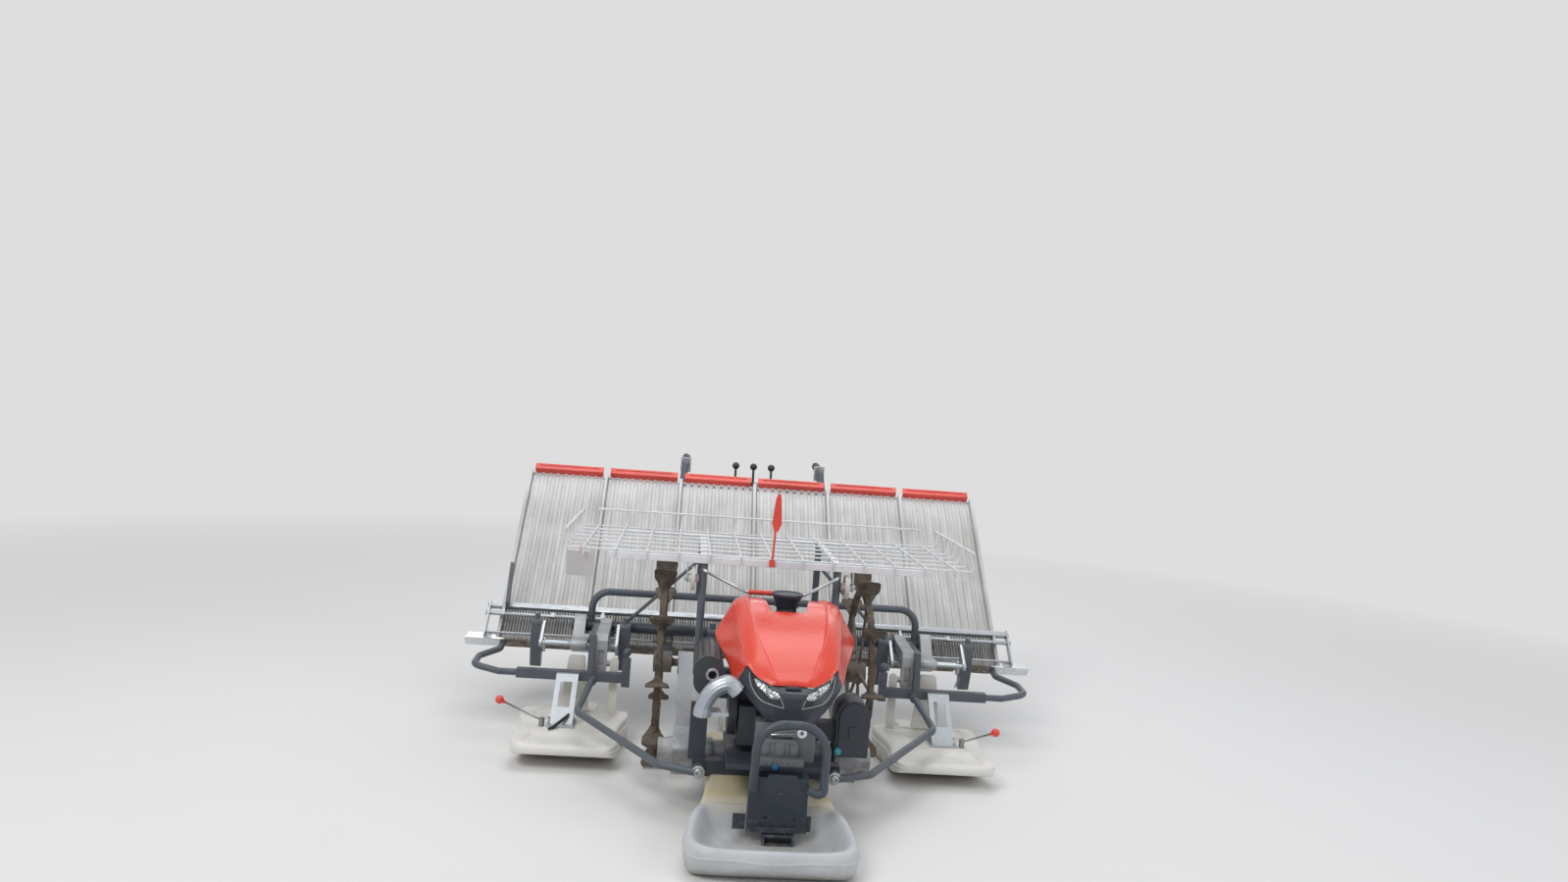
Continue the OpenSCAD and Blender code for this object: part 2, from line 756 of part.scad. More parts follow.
module bumper_pipes() {
    front = -796;
    color("#4a4f55") for (s = [-1, 1]) {
        difference() {
            pipe([
                side(s, [187, front, 148]), side(s, [300, -722, 142]), side(s, [565, -310, 162]),
                side(s, [535, -40, 216])
            ], bumper_r, 60);
            block([-700, side_y - side_tube / 2 - seat, 100], [700, 0, 300]);
        }
        // Foot bolted to the front beam
        translate([s * 187, -762 - seat, 148]) rotate([90, 0, 0]) cylinder(r = 18, h = 30);
        bolt([s * 187, -792 - seat, 148], [0, -1, 0], 9);
        // Sleeve welded on under the square tube
        rod(side(s, [538.4, -84, 206.6]), side(s, [540.4, -98, 203.8]), bumper_r + 4);
    }
}

module rack_stand() {
    z = spine_z[0] + 35 + post_r + seat;
    color("#3c4044") pipe([
        [-post_x, rack_front, rack_z - seat], [-post_x, rack_front, z], [post_x, rack_front, z],
        [post_x, rack_front, rack_z - seat]
    ], post_r, 50);
}

module rack_rear_posts() {
    color("#3c4044") for (s = [-1, 1]) difference() {
        union() {
            translate([s * post_x, cross_y, hoop_z]) cylinder(r = post_r, h = rack_z - seat - hoop_z);
            // Lug that holds the top of a strut
            block([s * (post_x - 8), strut_y - 9, strut_z], [s * (post_x + 22), cross_y, strut_z + 8]);
        }
        translate([-600, cross_y, hoop_z]) rotate([0, 90, 0]) cylinder(r = hoop_r + seat, h = 1200);
    }
}

module rack_posts() {
    rack_stand();
    rack_rear_posts();
}

module rack_struts() {
    color("#4a4f55") for (s = [-1, 1]) difference() {
        rod([s * 200, strut_y, strut_z + 14], [s * 566, strut_y, lug_z - 22], strut_r);
        block([-700, 0, strut_z - seat], [700, 300, strut_z + 60]);
        block([s * (link_x - 10 - seat), 0, 100], [s * 700, 300, 400]);
    }
}

module rack_frame() {
    front = rack_front - 18;
    color("whitesmoke") {
        // Front rail: an angle whose lip hangs down in front of the posts
        block([-493, front, rack_z], [493, rack_front + 14, rack_z + strip_t]);
        block([-493, front, rack_z - 12], [493, front + 4, rack_z]);
        block([-493, cross_y - 14, rack_z], [493, cross_y + 14, rack_z + strip_t]);
        for (s = [-1, 1])
            block([s * post_x - 12, rack_front, rack_z], [s * post_x + 12, cross_y, rack_z + strip_t]);
    }
}

module rack_long_wires() {
    step = (rack_rear - rack_front - 20) / (long_wires - 1);
    color("whitesmoke") for (i = [0 : long_wires - 1]) translate([-rack_half + 12, rack_front + 2 + i * step, wire_z])
        rotate([0, 90, 0]) cylinder(r = wire_r, h = 2 * rack_half - 24);
}

// Wires across the floor, hooked down over the front rail
module rack_cross_wires() {
    front = rack_front - 18 - wire_r - seat;
    color("whitesmoke") for (i = [0 : cross_wires - 1]) {
        x = (i - (cross_wires - 1) / 2) * cross_wire_pitch;
        if (abs(x) < 1) rod([x, rack_rear - 12, cross_wire_z], [x, rack_front - 16, cross_wire_z], wire_r);
        else pipe([[x, rack_rear - 12, cross_wire_z], [x, front, cross_wire_z], [x, front, rack_z - 6]],
            wire_r, 5);
    }
}

// The two ends and the back of the rack: a rim wire on upright stubs that bend into the floor
module rack_grilles() {
    step = (rack_rear - rack_front - 20) / (long_wires - 1);
    color("whitesmoke") {
        for (s = [-1, 1]) {
            rod([s * rack_half, rack_front - 8, rack_rim_z], [s * rack_half, rack_rear - 20, rack_rim_z],
                wire_r + 0.6);
            for (i = [0 : long_wires - 1]) pipe([
                [s * (rack_half - 12 + seat), rack_front + 2 + i * step, wire_z],
                [s * rack_half, rack_front + 2 + i * step, wire_z],
                [s * rack_half, rack_front + 2 + i * step, rack_rim_z]
            ], wire_r, 10);
        }
        half = (cross_wires - 1) / 2 * cross_wire_pitch;
        rod([-half - 8, rack_rear, rack_rim_z], [half + 8, rack_rear, rack_rim_z], wire_r + 0.6);
        for (i = [0 : cross_wires - 1]) pipe([
            [(i - (cross_wires - 1) / 2) * cross_wire_pitch, rack_rear - 12 + seat, cross_wire_z],
            [(i - (cross_wires - 1) / 2) * cross_wire_pitch, rack_rear, cross_wire_z],
            [(i - (cross_wires - 1) / 2) * cross_wire_pitch, rack_rear, rack_rim_z]
        ], wire_r, 10);
    }
}

module rack_wires() {
    rack_long_wires();
    rack_cross_wires();
    rack_grilles();
}

module rack_rollers() {
    color("ivory") for (s = [-1, 1]) difference() {
        union() {
            translate([s * 235, rack_front, 616]) rotate([0, 90, 0]) cylinder(r = 37, h = 6, center = true);
            translate([s * 235, rack_front, 616]) rotate([0, 90, 0]) rotate_extrude() translate([33, -6])
                square([4, 12]);
            translate([s * 234.8, rack_front, 616]) rotate([0, 90, 0]) cylinder(r = 13, h = 33, center = true);
        }
        translate([s * 235, rack_front, 616]) rotate([0, 90, 0]) cylinder(r = 5 + run, h = 60, center = true);
        for (a = [0 : 60 : 300]) translate([s * 235, rack_front, 616]) rotate([a, 0, 0]) translate([0, 0, 23])
            rotate([0, 90, 0]) cylinder(r = 4, h = 20, center = true);
    }
}

// Hangers and pins of the rollers
module roller_brackets() {
    color("silver") for (s = [-1, 1]) {
        rod([s * (post_x + post_r + seat), rack_front, 616], [s * 254, rack_front, 616], 5);
        plate_yz(min(s * 252, s * 256), max(s * 252, s * 256)) {
            link_2d([rack_front, 616], 14, [rack_front, rack_z - 20], 12);
            translate([rack_front - 12, rack_z - 24]) square([24, 24 - seat]);
        }
        block([s * 236, rack_front - 12, rack_z - 4], [s * 254, rack_front + 12, rack_z - seat]);
        bolt([s * 256, rack_front, 616], [s, 0, 0], 7);
    }
}

module rack_bail() {
    color("silver") difference() {
        pipe([
            [-post_x, rack_front - 10, 646], [-post_x, rack_front - 34, 646], [-75, rack_front - 40, 590],
            [105, rack_front - 40, 590], [post_x, rack_front - 34, 646], [post_x, rack_front - 10, 646]
        ], 5, 12);
        for (s = [-1, 1]) translate([s * post_x, rack_front, 500]) cylinder(r = post_r + seat, h = 300);
    }
}

module centre_marker() {
    y = rack_front - 18 - seat;
    color("#8c2f2a") {
        block([-9, y - 6, rack_z - 8], [9, y, rack_z + 12]);
        rod([0, y - 3, rack_z + 8], [4, y - 3, 790], 3.5);
    }
    color("red") translate([6, y - 1, 0]) rotate([90, 0, 0]) linear_extrude(5)
        polygon([[-7, 776], [5, 776], [15, 800], [9, 876], [4, 891], [-2, 891], [-8, 876], [-15, 800]]);
}

module cross_pipe() {
    color("#3c4044") cross_pipe_solid(0);
}

module frame_hoop() {
    color("#3c4044") difference() {
        pipe([
            [-hoop_x, cross_y, cross_z], [-hoop_x, cross_y, hoop_z], [hoop_x, cross_y, hoop_z],
            [hoop_x, cross_y, cross_z]
        ], hoop_r, 60);
        cross_pipe_solid(seat);
        for (s = [-1, 1])
            block([s * hoop_x - 30, cross_y - 40, 250], [s * hoop_x + 30, cross_y + 40, cross_z]);
    }
}

module side_frames() {
    h = side_tube / 2;
    color("#4a4f55") for (s = [-1, 1]) {
        difference() {
            union() {
                block([s * 608 - 183, side_y - h, side_z - h], [s * 608 + 183, side_y + h, side_z + h]);
                // Arm back to the cross pipe, with the lug of a strut
                plate_yz(s * link_x - 10, s * link_x + 10) {
                    polygon([
                        [side_y - h, side_z - h], [side_y + h, side_z - h], [side_y + h + 6, 312], [strut_y - 9, 312],
                        [strut_y - 9, lug_z - 12], [strut_y + 10, lug_z - 12], [cross_y, 300], [cross_y, 354],
                        [side_y + 6, 350], [side_y - h, side_z + h]
                    ]);
                }
                // Guard loop at the outer end
                pipe([
                    side(s, [780, side_y, side_z]), side(s, [850, side_y, side_z]), side(s, [936, -40, 226]),
                    side(s, [936, 60, 232]), side(s, [880, 150, 240]), side(s, [880, 200, 250])
                ], 11, 34);
            }
            cross_pipe_solid(seat);
            on_tray() block([-1100, -lip_t - 2 * seat, -40], [1100, 60, 60]);
        }
        // End plate with the knob of the planting depth
        block([s * 417, side_y - h - 8, side_z - 26], [s * 445, side_y - h, side_z + 72]);
        rod([s * 431, side_y - h - 4, side_z + 72], [s * 431, side_y - h - 4, side_z + 80], 6);
        translate([s * 431, side_y - h - 4, side_z + 90]) sphere(r = 14, $fn = 28);
        for (e = [-1, 1]) bolt([s * 431, side_y - h - 8, side_z + e * 9 + 40], [0, -1, 0], 5);
    }
}

// Castings that clamp the side frames to the cross pipe
module side_brackets() {
    rear = side_y + side_tube / 2 + seat;
    low = side_z + side_tube / 2 + seat;
    color("#aeb4b8") for (s = [-1, 1]) difference() {
        union() {
            plate_yz(min(s * 500, s * (link_x - 10 - seat)), max(s * 500, s * (link_x - 10 - seat)))
                polygon([[rear, low], [rear + 25, low], [rear + 25, 312], [98, 312], [98, 328], [cross_y, 330],
                    [cross_y, 358], [rear + 10, 350], [rear, 330]]);
            rod([s * 500, cross_y, cross_z], [s * (link_x - 10 - seat), cross_y, cross_z], cross_r + 9);
            rod([s * 488, rear + 12, low + 24], [s * 501, rear + 12, low + 24], 10);
        }
        cross_pipe_solid(seat);
        block([s * 508, rear - 1, low + 20], [s * 530, rear + 9, low + 70]);
    }
}

// Places of the three planting cases along the cross pipe
case_places = [-2 * row_pitch, 0, 2 * row_pitch];

module planting_cases() {
    color("#aeb4b8") for (x = case_places) difference() {
        plate_yz(x - case_half, x + case_half) {
            link_2d([cross_y, cross_z], 38, [crank_y, crank_z], 27);
            link_2d([crank_y, crank_z], 27, [rocker_y, rocker_z], 16);
            link_2d([cross_y, cross_z], 30, [168, 262], 12);
        }
        cross_pipe_solid(seat);
        on_tray() block([-1100, -lip_t - 2 * seat, -40], [1100, 60, 60]);
        for (s = [-1, 1]) if (abs(x) > 1)
            block([s * hoop_x - 16, cross_y - 60, 300], [s * hoop_x + 16, cross_y + 60, 480]);
    }
}

module planting_cranks() {
    color("silver") for (x = case_places, s = [-1, 1]) {
        inner = x + s * (case_half + seat);
        outer = x + s * (row_pitch / 2 - arm_half - seat);
        rod([inner, crank_y, crank_z], [outer, crank_y, crank_z], 9);
        plate_yz(min(outer - s * 12, outer), max(outer - s * 12, outer))
            link_2d([crank_y, crank_z], 18, crank_pin, 14);
        rod([inner, rocker_y, rocker_z], [outer, rocker_y, rocker_z], 7);
        plate_yz(min(outer - s * 10, outer), max(outer - s * 10, outer))
            link_2d([rocker_y, rocker_z], 14, arm_top, 12);
    }
}

module planting_arms() {
    color("#5a6066") for (x = case_places, s = [-1, 1]) {
        mid = x + s * row_pitch / 2;
        plate_yz(mid - arm_half, mid + arm_half) {
            link_2d(arm_top, 16, crank_pin, 24);
            link_2d(crank_pin, 24, arm_low, 17);
        }
        translate([mid, arm_top.x, arm_top.y + 12]) cylinder(r = 9, h = 22);
    }
}

module planting_claws() {
    color("#9aa0a5") for (x = case_places, s = [-1, 1]) {
        mid = x + s * row_pitch / 2;
        block([mid - 10, arm_low.x + 17 + seat, arm_low.y - 6], [mid + 10, arm_low.x + 30, arm_low.y + 6]);
        for (e = [-1, 1]) plate_yz(mid + e * 7 - 1.5, mid + e * 7 + 1.5)
            polygon([[arm_low.x + 24, 221], [arm_low.x + 24, 209], [160, 196],
                [186, 180], [187, 184], [166, 208]]);
    }
}

// Cream mud guards that stand on the side floats
module claw_guards() {
    foot = float_side_h + seat;
    color("#e6e0cf") for (s = [-1, 1]) {
        x = s * (float_side_x - 127);
        // Tongue behind the square tube
        plate_xz(-42, -36) {
            translate([x, 261]) circle(r = 14);
            polygon([[x - 14, 261], [x + 14, 261], [x + 14, foot], [x - 14, foot]]);
        }
        // Wedge in front of the planting case
        plate_xz(-18, -2) polygon([
            [s * float_side_x - 48, foot], [s * float_side_x + 48, foot],
            [s * float_side_x + 27, 262], [s * float_side_x + 21, 268],
            [s * float_side_x - 21, 268], [s * float_side_x - 27, 262]
        ]);
    }
}

module slide_rail() {
    color("#c9ced2") on_tray() {
        difference() {
            union() {
                block([-rail_half, -lip_t - seat, -tray_wall - seat - 6], [rail_half, 44, -tray_wall - seat]);
                block([-rail_half, -lip_t - seat, -tray_wall - seat - 6], [rail_half, -seat, lip_h]);
            }
            // Gates where the claws take the seedlings
            for (x = case_places, s = [-1, 1])
                block([x + s * row_pitch / 2 - 11, -20, -tray_wall - 20], [x + s * row_pitch / 2 + 11, 1, 20]);
        }
    }
}

// Bars in front of the tray's lower end that hold the seedlings down
module press_frame() {
    z0 = lip_h + seat;
    color("#c9ced2") on_tray() {
        for (s = [-1, 1]) {
            block([s * 942 - 3, -lip_t - seat, z0], [s * 942 + 3, 140, z0 + 26]);
            block([s * 939, -lip_t - seat, z0], [s * 918, 12, z0 + 3]);
            bolt([s * 945, 92, z0 + 14], [s, 0, 0], 8);
            bolt([s * 945, 128, z0 + 14], [s, 0, 0], 6);
        }
        block([-939, 118, z0 + 4], [939, 138, z0 + 22]);
        // Grab tubes at the two ends, with their collars
        for (s = [-1, 1]) {
            rod([s * 940, 92, z0 + 14], [s * 520, 92, z0 + 14], 7);
            for (x = [900, 724, 548]) block([s * x, 83, z0 + 7.4], [s * (x - 14), 101, z0 + 23.5]);
            for (x = [893, 541]) block([s * x - 5, 98, z0 + 9], [s * x + 5, 120, z0 + 20]);
        }
        translate([-939, 16, z0 + 6]) rotate([0, 90, 0]) cylinder(r = 4, h = 1878);
    }
}

comb_per_row = 10;

module press_comb() {
    z0 = lip_h + seat;
    pitch = row_pitch / comb_per_row;
    count = 6 * comb_per_row;
    color("#2b2d30") on_tray() {
        for (i = [0 : count - 1])
            translate([(i - (count - 1) / 2) * pitch, 20 + seat, z0 + 4.7])
            rotate([-90, 0, 0]) cylinder(r = 2, h = 98 - 2 * seat);
    }
}

module marker_hook() {
    z0 = lip_h + seat + 26;
    color("#4a4f55") on_tray() {
        translate([-880, 0, 0]) difference() {
            translate([-6, 0, 0]) rotate([90, 0, 90]) linear_extrude(12) {
                link_2d([128, z0 + 10], 16, [190, z0 + 40], 11);
                link_2d([190, z0 + 40], 11, [250, z0 + 70], 8);
            }
            block([-20, 100, -10], [20, 160, z0 - 4 + seat]);
        }
    }
}

module tray_rail() {
    w = -tray_wall - 24;
    color("#9aa0a5") on_tray() difference() {
        block([-700, 556, w - 22], [700, 592, w]);
        block([-701, 562, w - 23], [701, 586, w - 6]);
    }
}

// Corners of a handle pipe, from the cross pipe to the grip
handle_drop = 99;
handle_low = tray_point(110, -handle_drop);
handle_top = tray_point(835, -handle_drop);

module handle_path(s, r) {
    pipe([
        [s * handle_x, cross_y + 5, cross_z - cross_r - seat], [s * handle_x, cross_y + 5, handle_low.y - 58],
        [s * handle_x, handle_low.x, handle_low.y], [s * handle_x, handle_top.x, handle_top.y],
        [s * (handle_x - 14), 1000, grip_z - 14], [s * (handle_x - 14), rear_y - 6, grip_z]
    ], r, 36);
}

module handle_frame() {
    w = -tray_wall - 24 - 22;
    color("#3c4044") {
        for (s = [-1, 1]) handle_path(s, pipe_r);
        for (v = [300, 640]) {
            p = tray_point(v, -handle_drop);
            rod([-handle_x, p.x, p.y], [handle_x, p.x, p.y], 11);
        }
        on_tray() for (s = [-1, 1])
            block([s * handle_x - 9, 560, -handle_drop], [s * handle_x + 9, 588, w - seat]);
    }
}

module hand_grips() {
    color("#1b1c1e") for (s = [-1, 1]) difference() {
        rod([s * (handle_x - 14), 1062, grip_z - 9.2], [s * (handle_x - 14), rear_y - 1.34, grip_z + 0.5], 17);
        handle_path(s, pipe_r + seat);
    }
}

module control_panel() {
    color("#34373b") {
        difference() {
            loft(0, [
                [896, 118, 754, 784, 12],
                [912, 156, 745, 804, 16],
                [1000, 156, 740, 816, 16],
                [1014, 136, 746, 802, 14]
            ]);
            // Gates of the levers
            for (i = [-1 : 1]) block([i * 75 - 9, 928, 800], [i * 75 + 9, 992, 830]);
        }
        for (s = [-1, 1]) {
            block([s * 148, 920, 760], [s * 277.8, 950, 790]);
            translate([s * 130, 1006, 778]) rotate([-90, 0, 0]) cylinder(r = 9, h = 16);
        }
    }
}

module control_levers() {
    color("#1b1c1e") for (i = [-1 : 1]) {
        rod([i * 75, 950, 801.9], [i * 75, 975, 880], 5);
        translate([i * 75, 977, 884]) sphere(r = 15, $fn = 32);
    }
}

// Hand levers of the two side clutches, clamped under the grips
module clutch_levers() {
    color("#9aa0a5") for (s = [-1, 1]) {
        x = s * (handle_x - 14);
        difference() {
            block([x - 21, 1024, grip_z - 52], [x + 21, 1048, grip_z + 9]);
            handle_path(s, pipe_r + seat);
            for (e = [-1, 1]) translate([x + e * 18, 1036, grip_z - 10]) cylinder(r = 2.6, h = 30);
        }
        pipe([[x, 1030, grip_z - 46], [x, 1062, grip_z - 46],
            [x, 1090, grip_z - 58], [x, 1168, grip_z - 44]], 5, 16);
    }
}

// Outline of the tray's floor with its ribs, across the rows
function rib_outline() = [for (i = [0 : 6 * ribs_per_row - 1]) let (
        pitch = row_pitch / ribs_per_row,
        x = -tray_half + (i + 0.5) * pitch
    ) each [[x - pitch * 0.28, 0], [x - pitch * 0.18, 4], [x + pitch * 0.18, 4], [x + pitch * 0.28, 0]]];

module seedling_tray() {
    pitch = row_pitch / ribs_per_row;
    color("whitesmoke") on_tray() difference() {
        rotate([90, 0, 0]) translate([0, 0, -tray_len]) linear_extrude(tray_len)
            polygon(concat([[-tray_half, 0]], rib_outline(), [[tray_half, 0], [tray_half, -tray_wall],
                [-tray_half, -tray_wall]]));
        // Drain slots under the top edge
        for (i = [0 : 6 * ribs_per_row - 1]) {
            x = -tray_half + (i + 0.5) * pitch;
            block([x - 4, tray_len - 24, -20], [x + 4, tray_len - 9, 20]);
        }
    }
}

module tray_dividers() {
    color("whitesmoke") on_tray() for (i = [0 : 6]) {
        x = (i - 3) * row_pitch;
        block([x - divider_w / 2, 0, seat], [x + divider_w / 2, tray_len, divider_h]);
    }
}

module tray_flaps() {
    color("#f03c28") on_tray() for (i = [0 : 5]) difference() {
        x = (i - 2.5) * row_pitch;
        union() {
            block([x - 136, tray_len + seat, -tray_wall], [x + 136, tray_len + 8, 26]);
            block([x - 136, tray_len + 8, 18], [x + 136, tray_len + 30, 26]);
        }
        // Long finger groove
        block([x - 116, tray_len + 17, 23], [x + 116, tray_len + 21, 27]);
    }
}

module tray_slides() {
    w = -tray_wall - 24;
    color("#c9ced2") on_tray() for (s = [-1, 1])
        block([s * 480 - 60, 562, w + seat], [s * 480 + 60, 586, -tray_wall - seat]);
}

// Casting that carries one wheel, drawn for the left (+X) side
module wheel_arm() {
    head_in = 196.5;
    head_out = 262;
    dir = [cos(arm_angle), sin(arm_angle)];
    head = [pivot_y, pivot_z];
    axle = [axle_y, axle_z];
    color("silver") difference() {
        union() {
            plate_yz(head_in, head_out) translate(head) rotate(arm_angle) {
                square([108, 76], center = true);
                square([88, 96], center = true);
                for (e = [-1, 1], g = [-1, 1]) translate([e * 44, g * 38]) circle(r = 10);
            }
            translate([head_out, pivot_y, pivot_z]) rotate([0, 90, 0]) cylinder(r1 = 40, r2 = 33, h = 20);
            translate([head_out + 20, pivot_y, pivot_z]) rotate([0, 90, 0]) cylinder(r = 33, h = 22);
            plate_yz(arm_in, arm_out) link_2d(head + dir * 30, 40, axle, 34);
            translate([arm_in - 4, axle_y, axle_z]) rotate([0, 90, 0])
                cylinder(r = 36, h = arm_out - arm_in + 8);
        }
        translate([head_in - 1, pivot_y, pivot_z]) rotate([0, 90, 0]) cylinder(r = pivot_r + run, h = 62);
        translate([arm_in - 30, axle_y, axle_z]) rotate([0, 90, 0]) cylinder(r = axle_r + run, h = 90);
    }
}

module wheel_hub() {
    color("#6b6f73") {
        translate([arm_in - 2, axle_y, axle_z]) rotate([0, 90, 0])
            cylinder(r = axle_r, h = wheel_x + 26 - arm_in);
        translate([wheel_x - 40, axle_y, axle_z]) rotate([0, 90, 0]) cylinder(r = 36, h = 62);
        for (i = [0 : 4]) translate([wheel_x, axle_y, axle_z]) rotate([i * 72 + 18, 0, 0])
            cylinder(r = 8, h = rim_r - 22 - 2 * seat);
    }
}

// Rubber rim and its lugs
module wheel_lugs() {
    color("#3b332c") translate([wheel_x, axle_y, axle_z]) {
        rotate([0, 90, 0]) rotate_extrude() translate([rim_r - 11, 0]) square([22, 28], center = true);
        for (i = [0 : lug_count - 1]) rotate([(i + 0.5) * 360 / lug_count, 0, 0]) {
            translate([0, lug_t / 2, 0]) rotate([90, 0, 0]) linear_extrude(lug_t) polygon(concat(
                [[-16, rim_r - 20], [16, rim_r - 20], [lug_w / 2 - 12, rim_r + 0.12 * lug_h],
                    [lug_w / 2 - 3, rim_r + 0.35 * lug_h]],
                [for (a = [0 : 22.5 : 90]) [lug_w / 2 - lug_round + lug_round * cos(a),
                    wheel_r - lug_round + lug_round * sin(a)]],
                [for (a = [90 : 22.5 : 180]) [-lug_w / 2 + lug_round + lug_round * cos(a),
                    wheel_r - lug_round + lug_round * sin(a)]],
                [[-lug_w / 2 + 3, rim_r + 0.35 * lug_h], [-lug_w / 2 + 12, rim_r + 0.12 * lug_h]]
            ));
            block([-10, -lug_t / 2 - 8, rim_r - 20], [10, lug_t / 2 + 8, rim_r + 18]);
        }
    }
}

module right() {
    mirror([1, 0, 0]) children();
}

transmission();
main_frame();
engine();
engine_cowl();
air_cleaner();
muffler();
exhaust_shield();
fuel_tank();
fuel_cap();
nose_mask();
bonnet_pins();
headlamps();
front_guard();
front_cover();
float_middle();
float_sides();
float_brackets();
side_markers();
bumper_pipes();
rack_posts();
rack_struts();
rack_frame();
rack_wires();
rack_rollers();
roller_brackets();
rack_bail();
centre_marker();
cross_pipe();
frame_hoop();
side_frames();
side_brackets();
planting_cases();
planting_cranks();
planting_arms();
planting_claws();
claw_guards();
slide_rail();
press_frame();
press_comb();
marker_hook();
tray_rail();
handle_frame();
hand_grips();
clutch_levers();
control_panel();
control_levers();
seedling_tray();
tray_dividers();
tray_flaps();
tray_slides();
bonnet();
bonnet_hinges();
wheel_arm();  // wheel_arm_left
right() wheel_arm();  // wheel_arm_right
wheel_hub();  // wheel_hub_left
right() wheel_hub();  // wheel_hub_right
wheel_lugs();  // wheel_lugs_left
right() wheel_lugs();  // wheel_lugs_right
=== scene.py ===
import json
import math

import bmesh
import bpy
from mathutils import Matrix, Vector
from mathutils.bvhtree import BVHTree


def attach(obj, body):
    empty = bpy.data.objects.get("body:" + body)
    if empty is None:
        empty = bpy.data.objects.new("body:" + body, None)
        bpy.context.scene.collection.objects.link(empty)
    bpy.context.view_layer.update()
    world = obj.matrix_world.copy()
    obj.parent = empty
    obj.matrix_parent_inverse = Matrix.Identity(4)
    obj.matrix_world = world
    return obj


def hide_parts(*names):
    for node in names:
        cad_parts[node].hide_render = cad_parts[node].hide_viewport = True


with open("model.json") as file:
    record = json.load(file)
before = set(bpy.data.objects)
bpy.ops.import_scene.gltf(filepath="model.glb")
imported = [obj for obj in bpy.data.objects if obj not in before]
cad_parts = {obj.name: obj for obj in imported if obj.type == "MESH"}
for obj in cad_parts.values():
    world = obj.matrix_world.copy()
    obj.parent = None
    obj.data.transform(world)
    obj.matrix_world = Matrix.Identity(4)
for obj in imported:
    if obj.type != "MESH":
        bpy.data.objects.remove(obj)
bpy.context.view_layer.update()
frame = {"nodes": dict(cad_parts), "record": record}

# Lengths are millimetres in the machine's own frame, unless a comment says metres
MM = 0.001
BACKDROP = (0.73, 0.73, 0.73)
nodes = frame["nodes"]
scene = bpy.context.scene


class Net:
    """A material, with short calls that add nodes to it and link them."""

    def __init__(self, name):
        self.mat = bpy.data.materials.new(name)
        self.mat.use_nodes = True
        self.tree = self.mat.node_tree
        self.shader = self.tree.nodes["Principled BSDF"]
        self.coord = self.add("ShaderNodeTexCoord").outputs["Object"]

    def add(self, kind, **values):
        node = self.tree.nodes.new(kind)
        for key, value in values.items():
            if key in node.inputs:
                node.inputs[key].default_value = value
            else:
                setattr(node, key, value)
        return node

    def link(self, a, b):
        self.tree.links.new(a, b)

    def feed(self, value, socket):
        """Gives a socket a colour, a number or another node's output."""
        if isinstance(value, tuple):
            socket.default_value = (*value, 1.0)
        elif isinstance(value, (int, float)):
            socket.default_value = value
        else:
            self.link(value, socket)

    def tune(self, values):
        """Feeds inputs of the shader, by their names."""
        for name, value in values.items():
            self.feed(value, self.shader.inputs[name])

    def noise(self, scale, detail=4.0, rough=0.55, distortion=0.0, stretch=None):
        values = {"Scale": scale, "Detail": detail, "Roughness": rough, "Distortion": distortion}
        node = self.add("ShaderNodeTexNoise", **values)
        source = self.coord
        if stretch:
            mapping = self.add("ShaderNodeMapping", Scale=stretch)
            self.link(self.coord, mapping.inputs["Vector"])
            source = mapping.outputs["Vector"]
        self.link(source, node.inputs["Vector"])
        return node.outputs["Fac"]

    def span(self, value, low, high, out_low=0.0, out_high=1.0):
        """The value carried from one range to another, and held at its ends."""
        ends = {"From Min": low, "From Max": high, "To Min": out_low, "To Max": out_high}
        node = self.add("ShaderNodeMapRange", **ends)
        self.link(value, node.inputs["Value"])
        return node.outputs["Result"]

    def math(self, how, a, b):
        node = self.add("ShaderNodeMath", operation=how)
        self.feed(a, node.inputs[0])
        self.feed(b, node.inputs[1])
        return node.outputs[0]

    def times(self, a, b):
        return self.math("MULTIPLY", a, b)

    def plus(self, a, b):
        return self.math("ADD", a, b)

    def larger(self, a, b):
        return self.math("MAXIMUM", a, b)

    def smaller(self, a, b):
        return self.math("MINIMUM", a, b)

    def mix(self, share, a, b):
        """Colour a, turning into colour b as the share goes from 0 to 1."""
        node = self.add("ShaderNodeMix", data_type="RGBA")
        self.link(share, node.inputs[0])
        self.feed(a, node.inputs[6])
        self.feed(b, node.inputs[7])
        return node.outputs[2]

    def bump(self, heights):
        """Chains bumps: each row is a value, its strength and its depth in metres."""
        last = None
        for value, strength, depth in heights:
            node = self.add("ShaderNodeBump", Strength=strength, Distance=depth)
            self.link(value, node.inputs["Height"])
            if last:
                self.link(last, node.inputs["Normal"])
            last = node.outputs["Normal"]
        self.link(last, self.shader.inputs["Normal"])

    def corners(self, distance=0.03):
        """Ambient occlusion: 1 in open places, falling towards 0 in corners; the materials paint shade into
        corners with it.
        """
        return self.add("ShaderNodeAmbientOcclusion", Distance=distance, samples=5).outputs["AO"]

    def edges(self):
        """1 along worn outer edges, 0 on flats."""
        bevel = self.add("ShaderNodeBevel", Radius=0.002, samples=3)
        geo = self.add("ShaderNodeNewGeometry")
        dot = self.add("ShaderNodeVectorMath", operation="DOT_PRODUCT")
        self.link(bevel.outputs["Normal"], dot.inputs[0])
        self.link(geo.outputs["Normal"], dot.inputs[1])
        return self.span(dot.outputs["Value"], 0.985, 0.93)

    def axis(self, letter):
        """One coordinate of the place in the machine's frame, in metres."""
        xyz = self.add("ShaderNodeSeparateXYZ")
        self.link(self.coord, xyz.inputs[0])
        return xyz.outputs[letter]

    def done(self, base, rough):
        """Ends the material with its colour and roughness, each one value or a map."""
        self.tune({"Base Color": base, "Roughness": rough})
        return self.mat


MUD = (0.095, 0.066, 0.046)
PALE_MUD = (0.19, 0.155, 0.118)
# Dust colour, which painted parts also take in their corners as painted shade
DUST_AND_SHADE = (0.27, 0.235, 0.19)


